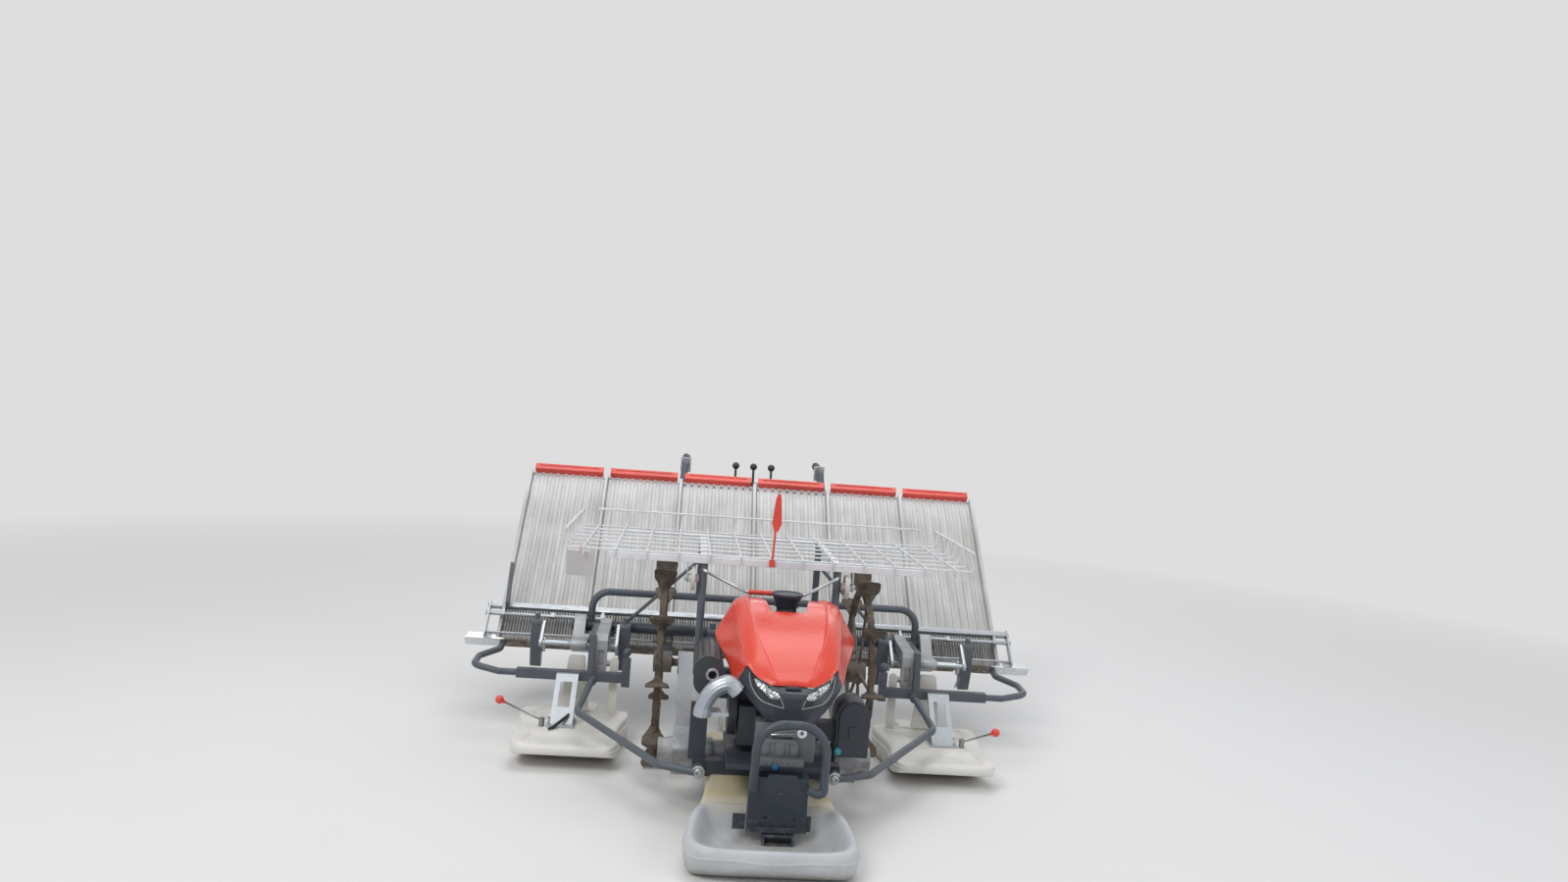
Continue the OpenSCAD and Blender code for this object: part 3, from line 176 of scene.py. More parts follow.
def shade(colour, share):
    """The same colour, darker or lighter."""
    return tuple(c * share for c in colour)


def painted(name, colour, rough, wear, dirt_and_shade, grain, dust_and_shade=DUST_AND_SHADE, coat=0.0, low=None, wash=None):
    """Paint or plastic with blotches, dust, rubbed edges and painted shade in corners.

    low and wash are heights in metres between which splashes or a film of soil fade out."""
    n = Net(name)
    lighter = tuple(min(1.0, c * 1.22 + 0.012) for c in colour)
    body = n.mix(n.span(n.noise(9.0, 5.0), 0.35, 0.65), shade(colour, 0.84), colour)
    body = n.mix(n.span(n.noise(150.0, 3.0), 0.55, 0.8, 0.0, 0.35), body, lighter)
    # Painted shade: ambient occlusion turns corners and creases towards the dust colour, together with real
    # dust blotches
    corner = n.span(n.corners(), 0.9, 0.3)
    patch = n.span(n.noise(21.0, 7.0, 0.68), 0.52, 0.74)
    soil_and_shade = n.times(n.plus(corner, n.times(patch, 0.5)), dirt_and_shade)
    if low:
        below = n.span(n.axis("Z"), *low, 0.75, 0.0)
        soil_and_shade = n.larger(soil_and_shade, n.times(below, n.span(n.noise(55.0, 7.0, 0.74), 0.5, 0.62)))
    if wash:
        streak = n.span(n.noise(22.0, 6.0, 0.62, 0.3, (2.0, 0.12, 0.12)), 0.30, 0.70, 0.25, 1.0)
        soil_and_shade = n.larger(soil_and_shade, n.times(n.span(n.axis("Z"), *wash, 0.58, 0.0), streak))
    soil_and_shade = n.smaller(soil_and_shade, 1.0)
    body = n.mix(soil_and_shade, body, dust_and_shade)
    if wear:
        rub = n.times(n.edges(), n.span(n.noise(60.0, 4.0), 0.4, 0.62, 0.0, wear))
        body = n.mix(rub, body, tuple(min(1.0, c * 1.6 + 0.10) for c in colour))
    uneven = n.span(n.noise(33.0, 4.0), 0.3, 0.7, rough - 0.06, rough + 0.08)
    gloss = n.plus(uneven, n.times(soil_and_shade, 0.35))
    n.tune({"Coat Weight": coat, "Coat Roughness": 0.08})
    n.bump([(n.noise(420.0, 3.0), grain, 0.0006), (n.noise(18.0, 3.0), 0.10, 0.002), (soil_and_shade, 0.25, 0.0005)])
    return n.done(body, gloss)


def cast(name, colour, rough, dirt_and_shade, low=None, metallic=0.6):
    """Sand-cast light alloy with mud and painted shade in corners; low is the heights in metres between
    which splashes fade out.
    """
    n = Net(name)
    body = n.mix(n.span(n.noise(14.0, 6.0, 0.6), 0.35, 0.7), shade(colour, 0.84), colour)
    # Painted shade: ambient occlusion turns corners towards the pale mud colour, together with real mud
    # blotches
    corner = n.span(n.corners(0.035), 0.92, 0.3)
    patch = n.span(n.noise(30.0, 6.0, 0.65), 0.52, 0.78)
    soil_and_shade = n.times(n.plus(corner, n.times(patch, 0.5)), dirt_and_shade)
    if low:
        below = n.span(n.axis("Z"), *low, 0.9, 0.0)
        soil_and_shade = n.larger(soil_and_shade, n.times(below, n.span(n.noise(38.0, 6.0, 0.7), 0.42, 0.6)))
    soil_and_shade = n.smaller(soil_and_shade, 1.0)
    body = n.mix(soil_and_shade, body, PALE_MUD)
    n.tune({"Metallic": n.times(n.math("SUBTRACT", 1.0, soil_and_shade), metallic)})
    uneven = n.span(n.noise(55.0, 4.0), 0.3, 0.7, rough - 0.08, rough + 0.1)
    gloss = n.plus(uneven, n.times(soil_and_shade, 0.3))
    n.bump([(n.noise(520.0, 2.0), 0.35, 0.0007), (n.noise(60.0, 4.0), 0.18, 0.0012)])
    return n.done(body, gloss)


def plated(name, colour, rough, dirt_and_shade, brushed=(1.0, 1.0, 1.0), metallic=1.0, muddy_inside=None):
    """Zinc plate, chrome or drawn steel with faint spangle, streaks, grime and painted shade in corners.

    muddy_inside is a distance from the middle, in metres, inside which dried mud covers the metal."""
    n = Net(name)
    spangle = n.add("ShaderNodeTexVoronoi", Scale=95.0)
    n.link(n.coord, spangle.inputs["Vector"])
    tint = n.add("ShaderNodeSeparateColor")
    n.link(spangle.outputs["Color"], tint.inputs[0])
    body = n.mix(n.span(tint.outputs[0], 0.0, 1.0, 0.0, 0.45), colour, shade(colour, 0.82))
    # Painted shade: ambient occlusion turns corners towards the mud colours, together with real grime
    # patches
    corner = n.span(n.corners(0.02), 0.92, 0.35)
    patch = n.span(n.noise(34.0, 6.0, 0.65), 0.54, 0.8)
    soil_and_shade = n.times(n.plus(corner, patch), dirt_and_shade)
    if muddy_inside:
        reach = n.plus(n.math("ABSOLUTE", n.axis("X"), 0.0), n.times(n.noise(30.0, 5.0), 0.03))
        inside = n.span(reach, muddy_inside + 0.02, muddy_inside)
        soil_and_shade = n.larger(soil_and_shade, n.times(inside, n.span(n.noise(46.0, 6.0, 0.7), 0.3, 0.5, 0.55, 1.0)))
    soil_and_shade = n.smaller(soil_and_shade, 1.0)
    body = n.mix(soil_and_shade, body, n.mix(n.span(n.noise(70.0, 5.0), 0.35, 0.65), MUD, PALE_MUD))
    n.tune({"Metallic": n.times(n.math("SUBTRACT", 1.0, soil_and_shade), metallic)})
    streak = n.noise(240.0, 3.0, stretch=brushed)
    gloss = n.plus(n.span(streak, 0.3, 0.7, rough - 0.07, rough + 0.09), n.times(soil_and_shade, 0.4))
    n.bump([(streak, 0.10, 0.0003), (n.noise(30.0, 3.0), 0.06, 0.001), (soil_and_shade, 0.4, 0.0008)])
    return n.done(body, gloss)


def blown(name, colour, stain, rough, waterline, aged=None):
    """Blown float plastic with fine grain, scratches, stains, a dirty waterline and painted shade in
    corners.

    waterline is a pair of heights, and aged a pair of places along y, in metres, and a colour."""
    n = Net(name)
    body = n.mix(n.span(n.noise(6.0, 6.0, 0.62), 0.38, 0.66), shade(colour, 0.90), colour)
    if aged:
        behind = n.times(n.span(n.axis("Y"), *aged[0]), n.span(n.axis("Z"), 0.03, 0.09))
        yellow = n.times(behind, n.span(n.noise(13.0, 4.0), 0.2, 0.6, 0.5, 1.0))
        body = n.mix(yellow, body, aged[1])
    scratch = n.noise(90.0, 2.0, 0.5, 0.4, (6.0, 0.5, 1.0))
    body = n.mix(n.span(scratch, 0.62, 0.76, 0.0, 0.35), body, shade(colour, 0.66))
    # Painted shade: ambient occlusion turns corners towards the stain colour, together with real stain
    # patches
    corner = n.span(n.corners(0.05), 0.85, 0.3)
    patch = n.span(n.noise(11.0, 7.0, 0.68, 0.6), 0.55, 0.75)
    speck = n.span(n.noise(150.0, 4.0, 0.7), 0.64, 0.70, 0.0, 0.6)
    below = n.span(n.axis("Z"), *waterline, 1.0, 0.0)
    line = n.times(below, n.span(n.noise(15.0, 7.0, 0.7), 0.34, 0.66))
    soil_and_shade = n.plus(n.times(n.plus(corner, patch), 0.26), n.larger(line, speck))
    soil_and_shade = n.smaller(soil_and_shade, 0.85)
    body = n.mix(soil_and_shade, body, stain)
    gloss = n.plus(n.span(scratch, 0.3, 0.7, rough - 0.08, rough + 0.12), n.times(soil_and_shade, 0.3))
    n.tune({"Specular IOR Level": 0.4})
    n.bump([(n.noise(380.0, 3.0), 0.16, 0.0006), (scratch, 0.12, 0.0008), (n.noise(9.0, 3.0), 0.12, 0.004)])
    return n.done(body, gloss)


def muddy(name, colour, cover, rough=0.8):
    """Iron or rubber under half-dry mud, with painted shade in corners; cover is how much of it the mud
    hides.
    """
    n = Net(name)
    body = n.mix(n.span(n.noise(24.0, 5.0), 0.35, 0.65), colour, tuple(c * 1.5 + 0.01 for c in colour))
    clod = n.noise(24.0, 9.0, 0.74, 0.6)
    crust = n.span(clod, 0.62 - cover * 0.28, 0.70 - cover * 0.2)
    wet = n.mix(n.span(n.noise(15.0, 7.0, 0.66), 0.38, 0.64), MUD, PALE_MUD)
    body = n.mix(crust, body, wet)
    # Painted shade: ambient occlusion darkens corners to a deep mud colour
    body = n.mix(n.span(n.corners(0.02), 0.8, 0.3, 0.0, 0.6), body, shade(MUD, 0.5))
    gloss = n.span(n.noise(30.0, 5.0), 0.3, 0.7, rough - 0.25, rough + 0.1)
    n.bump([(n.noise(230.0, 6.0, 0.7), 0.6, 0.0014), (clod, 0.8, 0.004)])
    return n.done(body, gloss)


def lens(name, colour):
    """Clear moulded lamp cover with faint moulding waves and haze."""
    n = Net(name)
    n.tune({"Transmission Weight": 1.0, "IOR": 1.12})
    n.bump([(n.noise(70.0, 2.0, stretch=(1.0, 0.2, 0.2)), 0.05, 0.0006)])
    return n.done(colour, n.span(n.noise(60.0, 4.0), 0.45, 0.8, 0.03, 0.12))


def red_gloss(name):
    """Moulded gloss red with fine orange peel, a dust film, painted shade in creases and faint scuffs."""
    n = Net(name)
    body = n.mix(n.span(n.noise(4.0, 4.0), 0.35, 0.65), (0.79, 0.050, 0.022), (0.86, 0.060, 0.028))
    film = n.span(n.noise(14.0, 6.0, 0.66), 0.50, 0.8, 0.0, 0.04)
    # Painted shade: ambient occlusion turns creases a little towards a dusty tone, added to the real dust
    # film
    soil_and_shade = n.larger(film, n.span(n.corners(0.02), 0.65, 0.25, 0.0, 0.12))
    body = n.mix(soil_and_shade, body, (0.62, 0.33, 0.24))
    scuff = n.span(n.noise(160.0, 2.0, 0.5, 0.5, (0.4, 3.0, 3.0)), 0.72, 0.82, 0.0, 0.10)
    body = n.mix(scuff, body, (0.88, 0.20, 0.13))
    gloss = n.plus(n.span(n.noise(40.0, 5.0), 0.35, 0.7, 0.24, 0.38), n.times(soil_and_shade, 0.8))
    n.tune({"Coat Weight": 0.50, "Coat Roughness": 0.16, "Specular IOR Level": 0.45})
    n.bump([(n.noise(300.0, 2.0), 0.05, 0.0004), (n.noise(900.0, 2.0), 0.05, 0.0002)])
    return n.done(body, gloss)


# Looks by name; a node wears the one named after its material slot, unless own_look gives another
mats = {
    "paint_grey": painted("graphite_paint", (0.098, 0.116, 0.141), 0.40, 0.6, 0.20, 0.12),
    "paint_dark": painted("dark_paint", (0.034, 0.046, 0.065), 0.46, 0.5, 0.12, 0.14, low=(0.02, 0.11)),
    "guard": painted("guard_paint", (0.066, 0.081, 0.104), 0.38, 0.6, 0.14, 0.12),
    "cast": cast("cast_alloy", (0.44, 0.455, 0.475), 0.50, 0.40, (0.04, 0.20)),
    "cast_muddy": cast("muddy_alloy", (0.42, 0.44, 0.465), 0.50, 0.45, (0.04, 0.30), metallic=0.4),
    "cast_dark": cast("grimy_alloy", (0.245, 0.262, 0.285), 0.55, 0.30, metallic=0.4),
    "zinc": plated("zinc_plate", (0.50, 0.54, 0.57), 0.36, 0.22, metallic=0.85),
    "dull_zinc": plated("dull_zinc", (0.45, 0.475, 0.50), 0.38, 0.26, (0.1, 1.0, 1.0), metallic=0.75),
    "duct": plated("pressed_duct", (0.46, 0.50, 0.55), 0.36, 0.12, (1.0, 0.05, 1.0), metallic=0.7),
    "chrome": plated("bright_rail", (0.76, 0.78, 0.80), 0.26, 0.22, (0.02, 1.0, 1.0)),
    "slide": plated("muddy_rail", (0.76, 0.78, 0.80), 0.24, 0.25, (0.02, 1.0, 1.0), 1.0, 0.885),
    "engine_dark": painted("dark_grained_plastic", (0.032, 0.040, 0.054), 0.44, 0.30, 0.10, 0.45),
    "muffler_black": painted("heat_black", (0.052, 0.056, 0.064), 0.46, 0.3, 0.20, 0.35),
    "red_shell": red_gloss("red_gloss"),
    "red_trim": painted("red_plastic", (0.88, 0.075, 0.048), 0.36, 0.2, 0.08, 0.15, coat=0.3),
    "lamp": lens("lamp_clear", (0.97, 0.98, 0.99)),
    "float_grey": blown("float_grey_plastic", (0.61, 0.64, 0.665), (0.36, 0.34, 0.30), 0.42, (0.0, 0.075),
                        ((-0.94, -0.87), (0.68, 0.58, 0.36))),
    "float_cream": blown("float_cream_plastic", (0.88, 0.865, 0.81), (0.50, 0.42, 0.30), 0.36,
                         (0.0, 0.045)),
    "rack_white": painted("white_vinyl_wire", (0.86, 0.88, 0.91), 0.30, 0.0, 0.10, 0.10,
                          dust_and_shade=(0.50, 0.50, 0.50)),
    "tray_white": painted("white_tray_plastic", (0.78, 0.795, 0.80), 0.40, 0.0, 0.20, 0.14,
                          dust_and_shade=(0.33, 0.305, 0.26), wash=(0.70, 0.80)),
    "roller_white": painted("white_roller", (0.70, 0.69, 0.65), 0.42, 0.2, 0.22, 0.15),
    "hub_iron": muddy("muddy_iron", (0.10, 0.09, 0.08), 0.55, 0.7),
    "lug_rubber": muddy("muddy_rubber", (0.045, 0.038, 0.032), 0.85),
    "grip_rubber": painted("grip_rubber", (0.018, 0.018, 0.020), 0.66, 0.0, 0.16, 0.5),
    "rod_steel": plated("plain_steel", (0.34, 0.35, 0.36), 0.38, 0.35),
    "comb_dark": painted("comb_paint", (0.020, 0.024, 0.022), 0.42, 0.0, 0.16, 0.1),
    "reflector": plated("lamp_reflector", (0.52, 0.54, 0.56), 0.18, 0.10),
    "smoked": painted("smoked_plastic", (0.020, 0.023, 0.028), 0.20, 0.0, 0.04, 0.05),
    "trim": painted("trim_plastic", (0.34, 0.36, 0.38), 0.30, 0.0, 0.06, 0.08),
    "mask": painted("mask_plastic", (0.031, 0.041, 0.058), 0.42, 0.25, 0.08, 0.40),
    "blue_cap": painted("blue_plastic", (0.03, 0.22, 0.48), 0.36, 0.0, 0.08, 0.1),
    "teal_cap": painted("teal_plastic", (0.05, 0.34, 0.40), 0.36, 0.0, 0.08, 0.1),
    "tag": painted("tag_card", (0.60, 0.58, 0.60), 0.60, 0.0, 0.20, 0.1),
}

# Nodes whose look differs from the rest of their slot
own_look = {
    "front_cover": "paint_dark", "main_frame": "paint_dark", "cross_pipe": "paint_dark",
    "front_guard": "guard", "press_comb": "comb_dark", "press_frame": "dull_zinc", "slide_rail": "slide",
    "engine": "cast_dark", "nose_mask": "mask", "bonnet_hinges": "mask",
    "wheel_arm_left": "cast_muddy", "wheel_arm_right": "cast_muddy",
}
# Rounding of outer edges: castings and mouldings have more than sheet and bar
PLAIN_ROUNDING = 1.1
rounding = {
    "engine": 2.5, "transmission": 4.0, "wheel_arm_left": 4.0, "wheel_arm_right": 4.0,
    "planting_cases": 4.0, "planting_arms": 3.0, "air_cleaner": 4.0, "engine_cowl": 3.5,
    "control_panel": 3.0, "nose_mask": 1.5, "claw_guards": 2.5, "side_brackets": 3.0,
    "tray_flaps": 1.6, "tray_dividers": 1.6, "fuel_cap": 1.0,
}
plain_edges = {"rack_wires", "press_comb", "headlamps", "side_markers", "rack_bail", "hand_grips"}
# Nodes under mud: the grain of their new skin, and how high its clods are
muddy_nodes = {
    "wheel_lugs_left": (3.6, 6.0), "wheel_lugs_right": (3.6, 6.0),
    "wheel_hub_left": (3.0, 3.0), "wheel_hub_right": (3.0, 3.0),
}


def finish_nodes():
    """Gives each CAD node its material and rounds its edges; the wheels get clods of mud."""
    clods = bpy.data.textures.new("clods", "CLOUDS")
    clods.noise_scale = 0.022
    clods.noise_depth = 4
    for row in frame["record"]["subparts"]:
        name = row["node"]
        obj = nodes[name]
        obj.data.materials.clear()
        obj.data.materials.append(mats[own_look.get(name, row["material_slot"])])
        weld = obj.modifiers.new("weld", "WELD")
        weld.merge_threshold = 0.02 * MM
        if name in muddy_nodes:
            grain, high = muddy_nodes[name]
            remesh = obj.modifiers.new("skin", "REMESH")
            remesh.mode = "VOXEL"
            remesh.voxel_size = grain * MM
            remesh.use_smooth_shade = True
            displace = obj.modifiers.new("clods", "DISPLACE")
            displace.texture = clods
            displace.texture_coords = "LOCAL"
            displace.mid_level = 1.35
            displace.strength = high * MM
        elif name not in plain_edges:
            bevel = obj.modifiers.new("edges", "BEVEL")
            bevel.width = rounding.get(name, PLAIN_ROUNDING) * MM
            bevel.segments = 2
            bevel.limit_method = "ANGLE"
            bevel.angle_limit = math.radians(38)
            bevel.harden_normals = True


def piece(name, verts, faces, look, body="machine", replaces=(), wall=None):
    """A new smooth piece from points in millimetres, riding on a body of the frame.

    An open skin, whose faces look outwards, gets a wall of the given thickness inwards."""
    mesh = bpy.data.meshes.new(name)
    mesh.from_pydata([Vector(v) * MM for v in verts], [], faces)
    bm = bmesh.new()
    bm.from_mesh(mesh)
    bmesh.ops.remove_doubles(bm, verts=bm.verts, dist=1e-6)
    if wall is None:
        bmesh.ops.recalc_face_normals(bm, faces=bm.faces)
    bm.to_mesh(mesh)
    bm.free()
    for face in mesh.polygons:
        face.use_smooth = True
    mesh.set_sharp_from_angle(angle=math.radians(40))
    mesh.materials.append(mats[look])
    obj = bpy.data.objects.new(name, mesh)
    scene.collection.objects.link(obj)
    if wall:
        solid = obj.modifiers.new("wall", "SOLIDIFY")
        solid.thickness = wall * MM
        solid.offset = -1.0
        rim = obj.modifiers.new("rim", "BEVEL")
        rim.width = 0.8 * MM
        rim.segments = 2
        rim.limit_method = "ANGLE"
        rim.angle_limit = math.radians(60)
    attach(obj, body)
    if replaces:
        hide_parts(*replaces)


def rounded(points, radii, steps=4):
    """A polyline whose inner corners are rounded by short curves of steps + 1 points each."""
    out = [points[0]]
    for before, corner, after, radius in zip(points, points[1:], points[2:], radii):
        a, c, b = Vector(before), Vector(corner), Vector(after)
        start = c + (a - c) * min(0.48, radius / max(1e-6, (a - c).length))
        end = c + (b - c) * min(0.48, radius / max(1e-6, (b - c).length))
        for i in range(steps + 1):
            t = i / steps
            out.append(start * (1 - t) ** 2 + c * (2 * t * (1 - t)) + end * t ** 2)
    out.append(points[-1])
    return [tuple(p) for p in out]


def through(rows, y):
    """The row of values at y on smooth curves through a table whose first column is y."""
    i = max(0, min(len(rows) - 2, sum(1 for row in rows[1:-1] if row[0] <= y)))
    a, b = rows[i], rows[i + 1]
    h = b[0] - a[0]
    t = (y - a[0]) / h
    out = [y]
    for k in range(1, len(a)):
        slope = left = right = (b[k] - a[k]) / h
        if i > 0:
            before = rows[i - 1]
            left = ((a[k] - before[k]) / (a[0] - before[0]) + slope) / 2
        if i + 2 < len(rows):
            after = rows[i + 2]
            right = ((after[k] - b[k]) / (after[0] - b[0]) + slope) / 2
        out.append((1 + 2 * t) * (1 - t) ** 2 * a[k] + t * (1 - t) ** 2 * h * left
                   + t * t * (3 - 2 * t) * b[k] + t * t * (t - 1) * h * right)
    return out


def stations(rows, gap):
    """Places along a table's first column, every gap or less, with its own rows among them."""
    out = []
    for a, b in zip(rows, rows[1:]):
        count = max(1, math.ceil((b[0] - a[0]) / gap))
        out += [a[0] + (b[0] - a[0]) * i / count for i in range(count)]
    return out + [rows[-1][0]]


def skin(rings, caps=True):
    """Points and faces of a skin through closed rings of points, with or without its end faces."""
    n = len(rings[0])
    faces = []
    for i in range(len(rings) - 1):
        for j in range(n):
            k = (j + 1) % n
            faces.append((i * n + j, i * n + k, (i + 1) * n + k, (i + 1) * n + j))
    if caps:
        faces += [tuple(range(n)), tuple((len(rings) - 1) * n + j for j in range(n))]
    return [p for ring in rings for p in ring], faces


def add_skin(verts, faces, rings):
    """Adds one more closed skin to the points and faces of a piece."""
    part, joined = skin(rings)
    faces += [tuple(i + len(verts) for i in face) for face in joined]
    verts += part


def sweep(path, section):
    """Rings of a section (across, up) carried along a path without twisting."""
    points = [Vector(p) for p in path]
    steep = abs((points[1] - points[0]).normalized().z) >= 0.9
    up = Vector((0, 1, 0)) if steep else Vector((0, 0, 1))
    rings = []
    for i, p in enumerate(points):
        way = (points[min(i + 1, len(points) - 1)] - points[max(i - 1, 0)]).normalized()
        across = way.cross(up).normalized()
        up = across.cross(way).normalized()
        rings.append([tuple(p + across * u + up * v) for u, v in section])
    return rings


def angles(count):
    """Even steps round a full turn."""
    return [math.tau * i / count for i in range(count)]


def circle(radius, count):
    """Points round the origin."""
    return [(radius * math.cos(a), radius * math.sin(a)) for a in angles(count)]


def revolve(place, way, profile):
    """Rings of a profile (radius, distance along way) turned about a line."""
    axis = Vector(way).normalized()
    side = axis.orthogonal().normalized()
    other = axis.cross(side)
    rings = []
    for r, h in profile:
        middle = Vector(place) + axis * h
        ring = [middle + (side * math.cos(a) + other * math.sin(a)) * r for a in angles(28)]
        rings.append([tuple(p) for p in ring])
    return rings


# Middle of the nose in x, front of the rack in y, and the height of its wires
NOSE_X = 43.0
RACK_FRONT = -400.0
RACK_WIRE_Z = 687.3

# Bonnet: y, crease x and z, shoulder x and z, edge x and z, top z in the middle
BONNET = [
    (-905, 34, 434, 50, 430, 58, 425, 435),
    (-880, 50, 453, 88, 445, 97, 440, 453),
    (-850, 63, 477, 114, 465, 121, 461.5, 476),
    (-820, 74, 498, 123, 479, 132, 434, 495),
    (-790, 85, 516, 131, 492, 146, 405, 511),
    (-700, 101, 554, 143, 530, 170, 434, 548),
    (-600, 110, 582, 151, 560, 197, 466, 574),
    (-550, 111, 590, 155, 572, 203, 480, 583),
    (-510, 110, 590, 154, 575, 188, 496, 583),
    (-480, 106, 587, 150, 574, 174, 514, 580),
]
# Start of the recess round the filler cap, its half width there, and how that grows with y
RECESS_Y = -622.0
RECESS_HALF = 50.0
RECESS_FLARE = 24.0 / 152.0
# The front lip turns under: each place along y, the share of the width, and the share of the height
BONNET_LIP = [(-905.0, 0.985, 0.0), (-904.6, 0.994, 0.6), (-903.6, 0.998, 0.9)]


def bonnet_row(y):
    """One section of the bonnet: from its lower edge to the recess line, then on to the middle."""
    _, crease, crease_z, shoulder, shoulder_z, edge, edge_z, top_z = through(BONNET, y)
    # Towards the nose the section is narrow, and its curves shrink with it
    k = min(1.0, shoulder / 150)
    c = max(0.05, min(k, (shoulder_z - edge_z) / 40))
    step_z = crease_z - (4.8 * k + 1.2)
    outline = [
        (edge, edge_z),
        (edge + 1.5 * c, edge_z + 9 * c),
        ((edge + shoulder) / 2 + 4 * c, (edge_z + shoulder_z) / 2),
        (shoulder + 1.5 * k, shoulder_z - 1.5 * k),
        (crease + 0.62 * (shoulder - crease), shoulder_z + 0.62 * (crease_z - shoulder_z)),
        (crease + 4 * k, crease_z + 0.6 * k),
        (crease - 1.5 * k, step_z),
        (crease * 0.55, step_z * 0.45 + top_z * 0.55),
        (0.0, top_z),
    ]
    line = rounded(outline, [6 * c, 30 * c, 7 * k, 16 * k, 2.4 * k, 2.6 * k, 24 * k], 5)
    split = min(RECESS_HALF, crease * 0.62)
    if y > RECESS_Y:
        split = RECESS_HALF + RECESS_FLARE * (y - RECESS_Y)
    # The two parts of the line meet exactly at the recess line
    cut = max(i for i, p in enumerate(line) if p[0] > split)
    a, b = line[cut], line[cut + 1]
    t = (a[0] - split) / (a[0] - b[0])
    join = (split, a[1] + (b[1] - a[1]) * t)
    return spread(line[:cut + 1] + [join], 56), spread([join] + line[cut + 1:], 8)


# Length that one radian of turning counts for when points are shared out along a line
TURN_LENGTH = 40.0


def spread(line, count):
    """The line again with count points, shared out by its length and by how much it turns."""
    weight = [0.0]
    for i in range(1, len(line)):
        a, b = Vector(line[i - 1]), Vector(line[i])
        turn = 0.0
        if i > 1:
            before = a - Vector(line[i - 2])
            if before.length > 1e-6 and (b - a).length > 1e-6:
                turn = before.angle(b - a, 0.0)
        weight.append(weight[-1] + (b - a).length + TURN_LENGTH * turn)
    out = []
    for j in range(count):
        want = weight[-1] * j / (count - 1)
        i = max(1, next((n for n, w in enumerate(weight) if w >= want - 1e-9), len(weight) - 1))
        t = (want - weight[i - 1]) / max(1e-9, weight[i] - weight[i - 1])
        out.append(tuple(Vector(line[i - 1]).lerp(Vector(line[i]), min(1.0, t))))
    return out


def bonnet_skin():
    """The moulded shell: a dense curved skin with its crease, open round the filler cap."""
    ys = [y for y, _, _ in BONNET_LIP] + [y for y in stations(BONNET, 8.0) if y > BONNET_LIP[-1][0]]
    ys += [RECESS_Y, RECESS_Y + 0.4]
    verts, rows = [], []
    for n, y in enumerate(sorted(ys)):
        side, middle = bonnet_row(y)
        half = side + middle[1:]
        foot = side[0][1]
        if n < len(BONNET_LIP):
            _, wide, tall = BONNET_LIP[n]
            half = [(x * wide, foot + (z - foot) * tall) for x, z in half]
        ring = [(NOSE_X + x, y, z) for x, z in half] + [(NOSE_X - x, y, z) for x, z in half[-2::-1]]
        rows.append((y, len(side), len(ring)))
        verts += ring
    faces, start = [], 0
    for (y, cut, count), (after, _, _) in zip(rows, rows[1:]):
        for j in range(count - 1):
            inside = cut - 1 <= j < count - cut
            if not (inside and after > RECESS_Y + 0.2):
                a = start + j
                faces.append((a, a + count, a + count + 1, a + 1))
        start += count
    piece("bonnet_skin", verts, faces, "red_shell", "bonnet", ("bonnet",), wall=4.0)


# Middle float behind the pan: y, half width, underside, top, flat top's half width, height in the middle
MIDDLE_FLOAT = [
    (-915, 150, 24, 60, 100, 60),
    (-905, 178, 8, 92, 120, 92),
    (-890, 181, 0, 110, 124, 110),
    (-868, 175, 0, 118, 120, 118),
    (-300, 160, 0, 118, 110, 117.5),
    (-250, 156, 0, 96, 106, 95.5),
    (-180, 150, 0, 70, 100, 69.5),
    (-110, 108, 0, 66, 70, 65.5),
    (200, 100, 0, 60, 62, 59.5),
    (244, 94, 6, 57, 56, 56.5),
    (259.8, 70, 24, 48, 40, 47.5),
]
# Half outline of the pan, seen from above, and how its wall runs: inset, height
PAN_OUTLINE = [
    (0, -1182.4), (110, -1182), (158, -1175), (192, -1160), (211, -1137), (220, -1104), (221, -1060),
    (215, -1010), (206, -960), (198, -925), (188, -902), (168, -890), (90, -886), (0, -885),
]
PAN_WALL = [
    (138, 0), (70, 0), (26, 2), (12, 8), (5, 20), (1, 40), (0, 58), (-2.2, 59.6), (-2.2, 62.4), (0, 64),
    (2, 72), (6, 80), (12, 85), (18, 86), (24, 84), (31, 77), (38, 66), (46, 52), (56, 40), (68, 32),
    (84, 29.6), (138, 29.6),
]
# The pan's half width, its middle, and its reach from there to the front and to the rear
PAN_HALF = 221
PAN_MIDDLE_Y = -1030.0
PAN_AHEAD = 155
PAN_BEHIND = 150
# Below this height and ahead of this place the pan sweeps up, by this share of the distance
PAN_RAKE_Z = 56
PAN_RAKE_Y = -1122
PAN_RAKE = 0.62
# Side floats: the distance of their middles, and how far the seam stands out and its half height
SIDE_FLOAT_X = 593.0
BEAD = (5, 3.2)
# From its own middle, the same columns as above, with a hollow in place of the flat top
SIDE_FLOAT = [
    (-408.8, 122, 60, 66, 60, 66),
    (-406, 138, 54, 73, 96, 72),
    (-399, 149, 49, 79, 112, 77),
    (-386, 156, 44, 83, 120, 79),
    (-350, 163, 34, 84, 128, 76),
    (-300, 161, 20, 84, 122, 75),
    (-262, 153, 10, 84, 112, 83.4),
    (-150, 160, 0, 84, 116, 83.4),
    (-122, 166, 0, 84, 124, 77),
    (-60, 176, 0, 84, 136, 75),
    (-8, 173, 0, 84, 124, 77),
    (10, 160, 2, 82, 96, 81),
    (28, 128, 5, 76, 60, 75.5),
    (48, 80, 6, 69, 42, 68.5),
    (80, 63, 4, 61, 34, 60.5),
    (150, 61, 0, 58, 32, 57.5),
    (190, 55, 8, 55, 28, 54.5),
    (199.8, 42, 18, 48, 20, 47.5),
]


def smooth(low, high, value):
    """0 at one end of a range and 1 at the other, with an even curve between."""
    t = min(1.0, max(0.0, (value - low) / (high - low)))
    return t * t * (3 - 2 * t)


